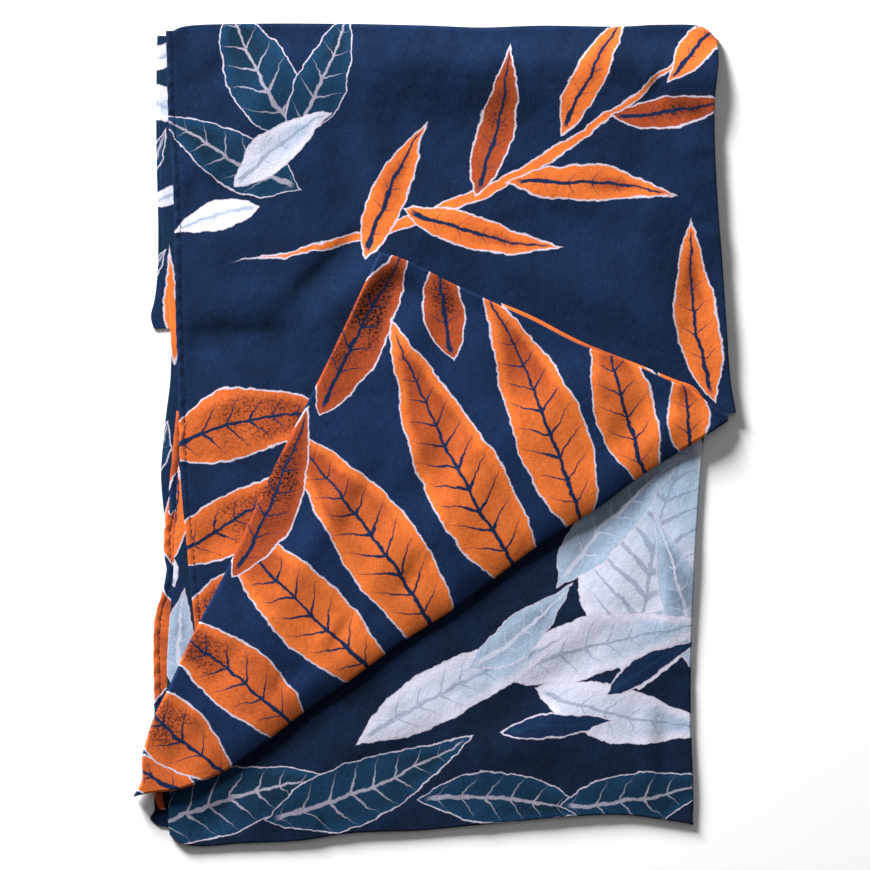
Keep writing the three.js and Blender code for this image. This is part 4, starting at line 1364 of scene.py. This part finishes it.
def build_scarf():
    groups = (make_leaf_group(), make_weave_group())
    cover_print, flap_print_painted_light, lower_print, side_print, hem_print, inner_print, hidden_print = (
        printed_cotton(name, groups, ground, deep, leaves, crumple)
        for name, ground, deep, leaves, crumple in (
            ("cover_print", NAVY, NAVY_DEEP, COVER_LEAVES, 0.8),
            # The turned corner's ground is a lighter navy than the cover's: painted light
            ("flap_print_painted_light", NAVY_PAINTED_LIGHT, NAVY, FLAP_LEAVES, 0.5),
            ("lower_print", NAVY_DEEP, NIGHT, LOWER_LEAVES, 0.8),
            ("side_print", TEAL_DEEP, NAVY, SIDE_LEAVES, 0.8),
            ("hem_print", BURNT, RUST, HEM_LEAVES, 0.8),
            ("inner_print", NAVY, NAVY_DEEP, INNER_LEAVES, 0.8),
            ("hidden_print", NAVY_DEEP, INK, COVER_LEAVES[:1], 0.8),
        )
    )
    thread = sewing_thread()
    stitch = one_stitch()
    floor_z, first_z, second_z = level(0), level(PLY), level(2 * PLY)

    # Each sheet with its cut
    hidden = make_hidden(hidden_print)
    lower = make_lower(lower_print)
    cover = make_cover(cover_print)
    inner = make_inner_corner(inner_print)
    flap = make_turned_corner(flap_print_painted_light)
    side_look = (side_print, "side_cloth")
    wing, side, middle, corner = (
        make_folded_strip(name, rows, under, inner_low, inner_end, *look, node, seed)
        for name, rows, under, inner_low, inner_end, look, node, seed in (
            ("wing_cloth", WING_LEFT, floor_z, 57.5, STRIP_END, side_look, "wing_layer", 41),
            ("side_cloth_edge", SIDE_LEFT, side_z, -148, STRIP_END, side_look, "side_layer", 43),
            ("middle_cloth", MIDDLE_LEFT, second_z, -142, STRIP_END, side_look, "middle_layer", 47),
            ("corner_cloth", CORNER_LEFT, floor_z, CORNER_LOW, CORNER_END,
             (hidden_print, "hidden_cloth"), "corner_layer", 53),
        )
    )
    second = make_hemmed_strip(
        "second_cloth", SECOND_LEFT, first_z, -148, hem_print, "second_layer", 59)

    hems = (
        ("cover", COVER_LEFT, cover_z, cover_print, "cover_cloth", 31),
        ("second", SECOND_LEFT, first_z, hem_print, "hem_cloth", 33),
        ("corner", CORNER_HEM, first_z, hem_print, "hem_cloth", 35),
    )
    rolls = [
        make_hem(name + "_hem_roll", rows, under, material, [name + "_hem"], seed)
        for name, rows, under, material, slot, seed in hems
    ]
    seams = [
        make_stitches(name + "_stitches", rows, under, lift, thread, stitch)
        for (name, rows, _, _, slot, _), under, lift in zip(
            hems, (cover_top, first_z, first_z), (STITCH_LIFT, HEM_STITCH_LIFT, HEM_STITCH_LIFT))
    ]


# The room: paper floor, camera over it, and lights by azimuth, elevation, distance, size, power

PHOTO_PIXELS = 870
MM_PER_PIXEL = 0.54
SENSOR = 36
CAMERA_HEIGHT = 3.0
FLOOR_SIZE = 8
FLOOR_BELOW = 0.0001
PAPER = srgb(250, 250, 250)
PAPER_ROUGH = 0.9
AMBIENT = 0.11
LIGHTS = {"key": (124, 23, 2.4, 0.8, 168), "fill": (60, 65, 2.4, 1.8, 6)}


def build_camera():
    data = bpy.data.cameras.new("camera")
    data.sensor_width = SENSOR
    data.lens = SENSOR * CAMERA_HEIGHT / (PHOTO_PIXELS * MM_PER_PIXEL * MM)
    camera = bpy.data.objects.new("camera", data)
    camera.location = (0, 0, CAMERA_HEIGHT)
    bpy.context.scene.collection.objects.link(camera)
    bpy.context.scene.camera = camera


def add_light(name, azimuth, elevation, distance, size, power):
    """A square light that faces the scarf's middle."""
    turn, rise = math.radians(azimuth), math.radians(elevation)
    data = bpy.data.lights.new(name, "AREA")
    data.size = size
    data.energy = power
    light = bpy.data.objects.new(name, data)
    level_away = distance * math.cos(rise)
    light.location = (
        level_away * math.cos(turn), level_away * math.sin(turn), distance * math.sin(rise))
    light.rotation_euler = (math.pi / 2 - rise, 0, turn + math.pi / 2)
    bpy.context.scene.collection.objects.link(light)


def build_room():
    deselect()
    bpy.ops.mesh.primitive_plane_add(size=FLOOR_SIZE, location=(0, 0, -FLOOR_BELOW))
    floor = bpy.context.active_object
    floor.name = "floor"
    material = bpy.data.materials.new("floor_paper")
    material.use_nodes = True
    shader = material.node_tree.nodes["Principled BSDF"]
    shader.inputs["Base Color"].default_value = PAPER
    shader.inputs["Roughness"].default_value = PAPER_ROUGH
    floor.data.materials.append(material)
    world = bpy.data.worlds.new("studio")
    world.use_nodes = True
    background = world.node_tree.nodes["Background"]
    background.inputs[0].default_value = (1, 1, 1, 1)
    background.inputs[1].default_value = AMBIENT
    bpy.context.scene.world = world
    for name, light in LIGHTS.items():
        add_light(name, *light)
    bpy.context.scene.view_settings.view_transform = "Standard"


build_camera()
build_scarf()
build_room()
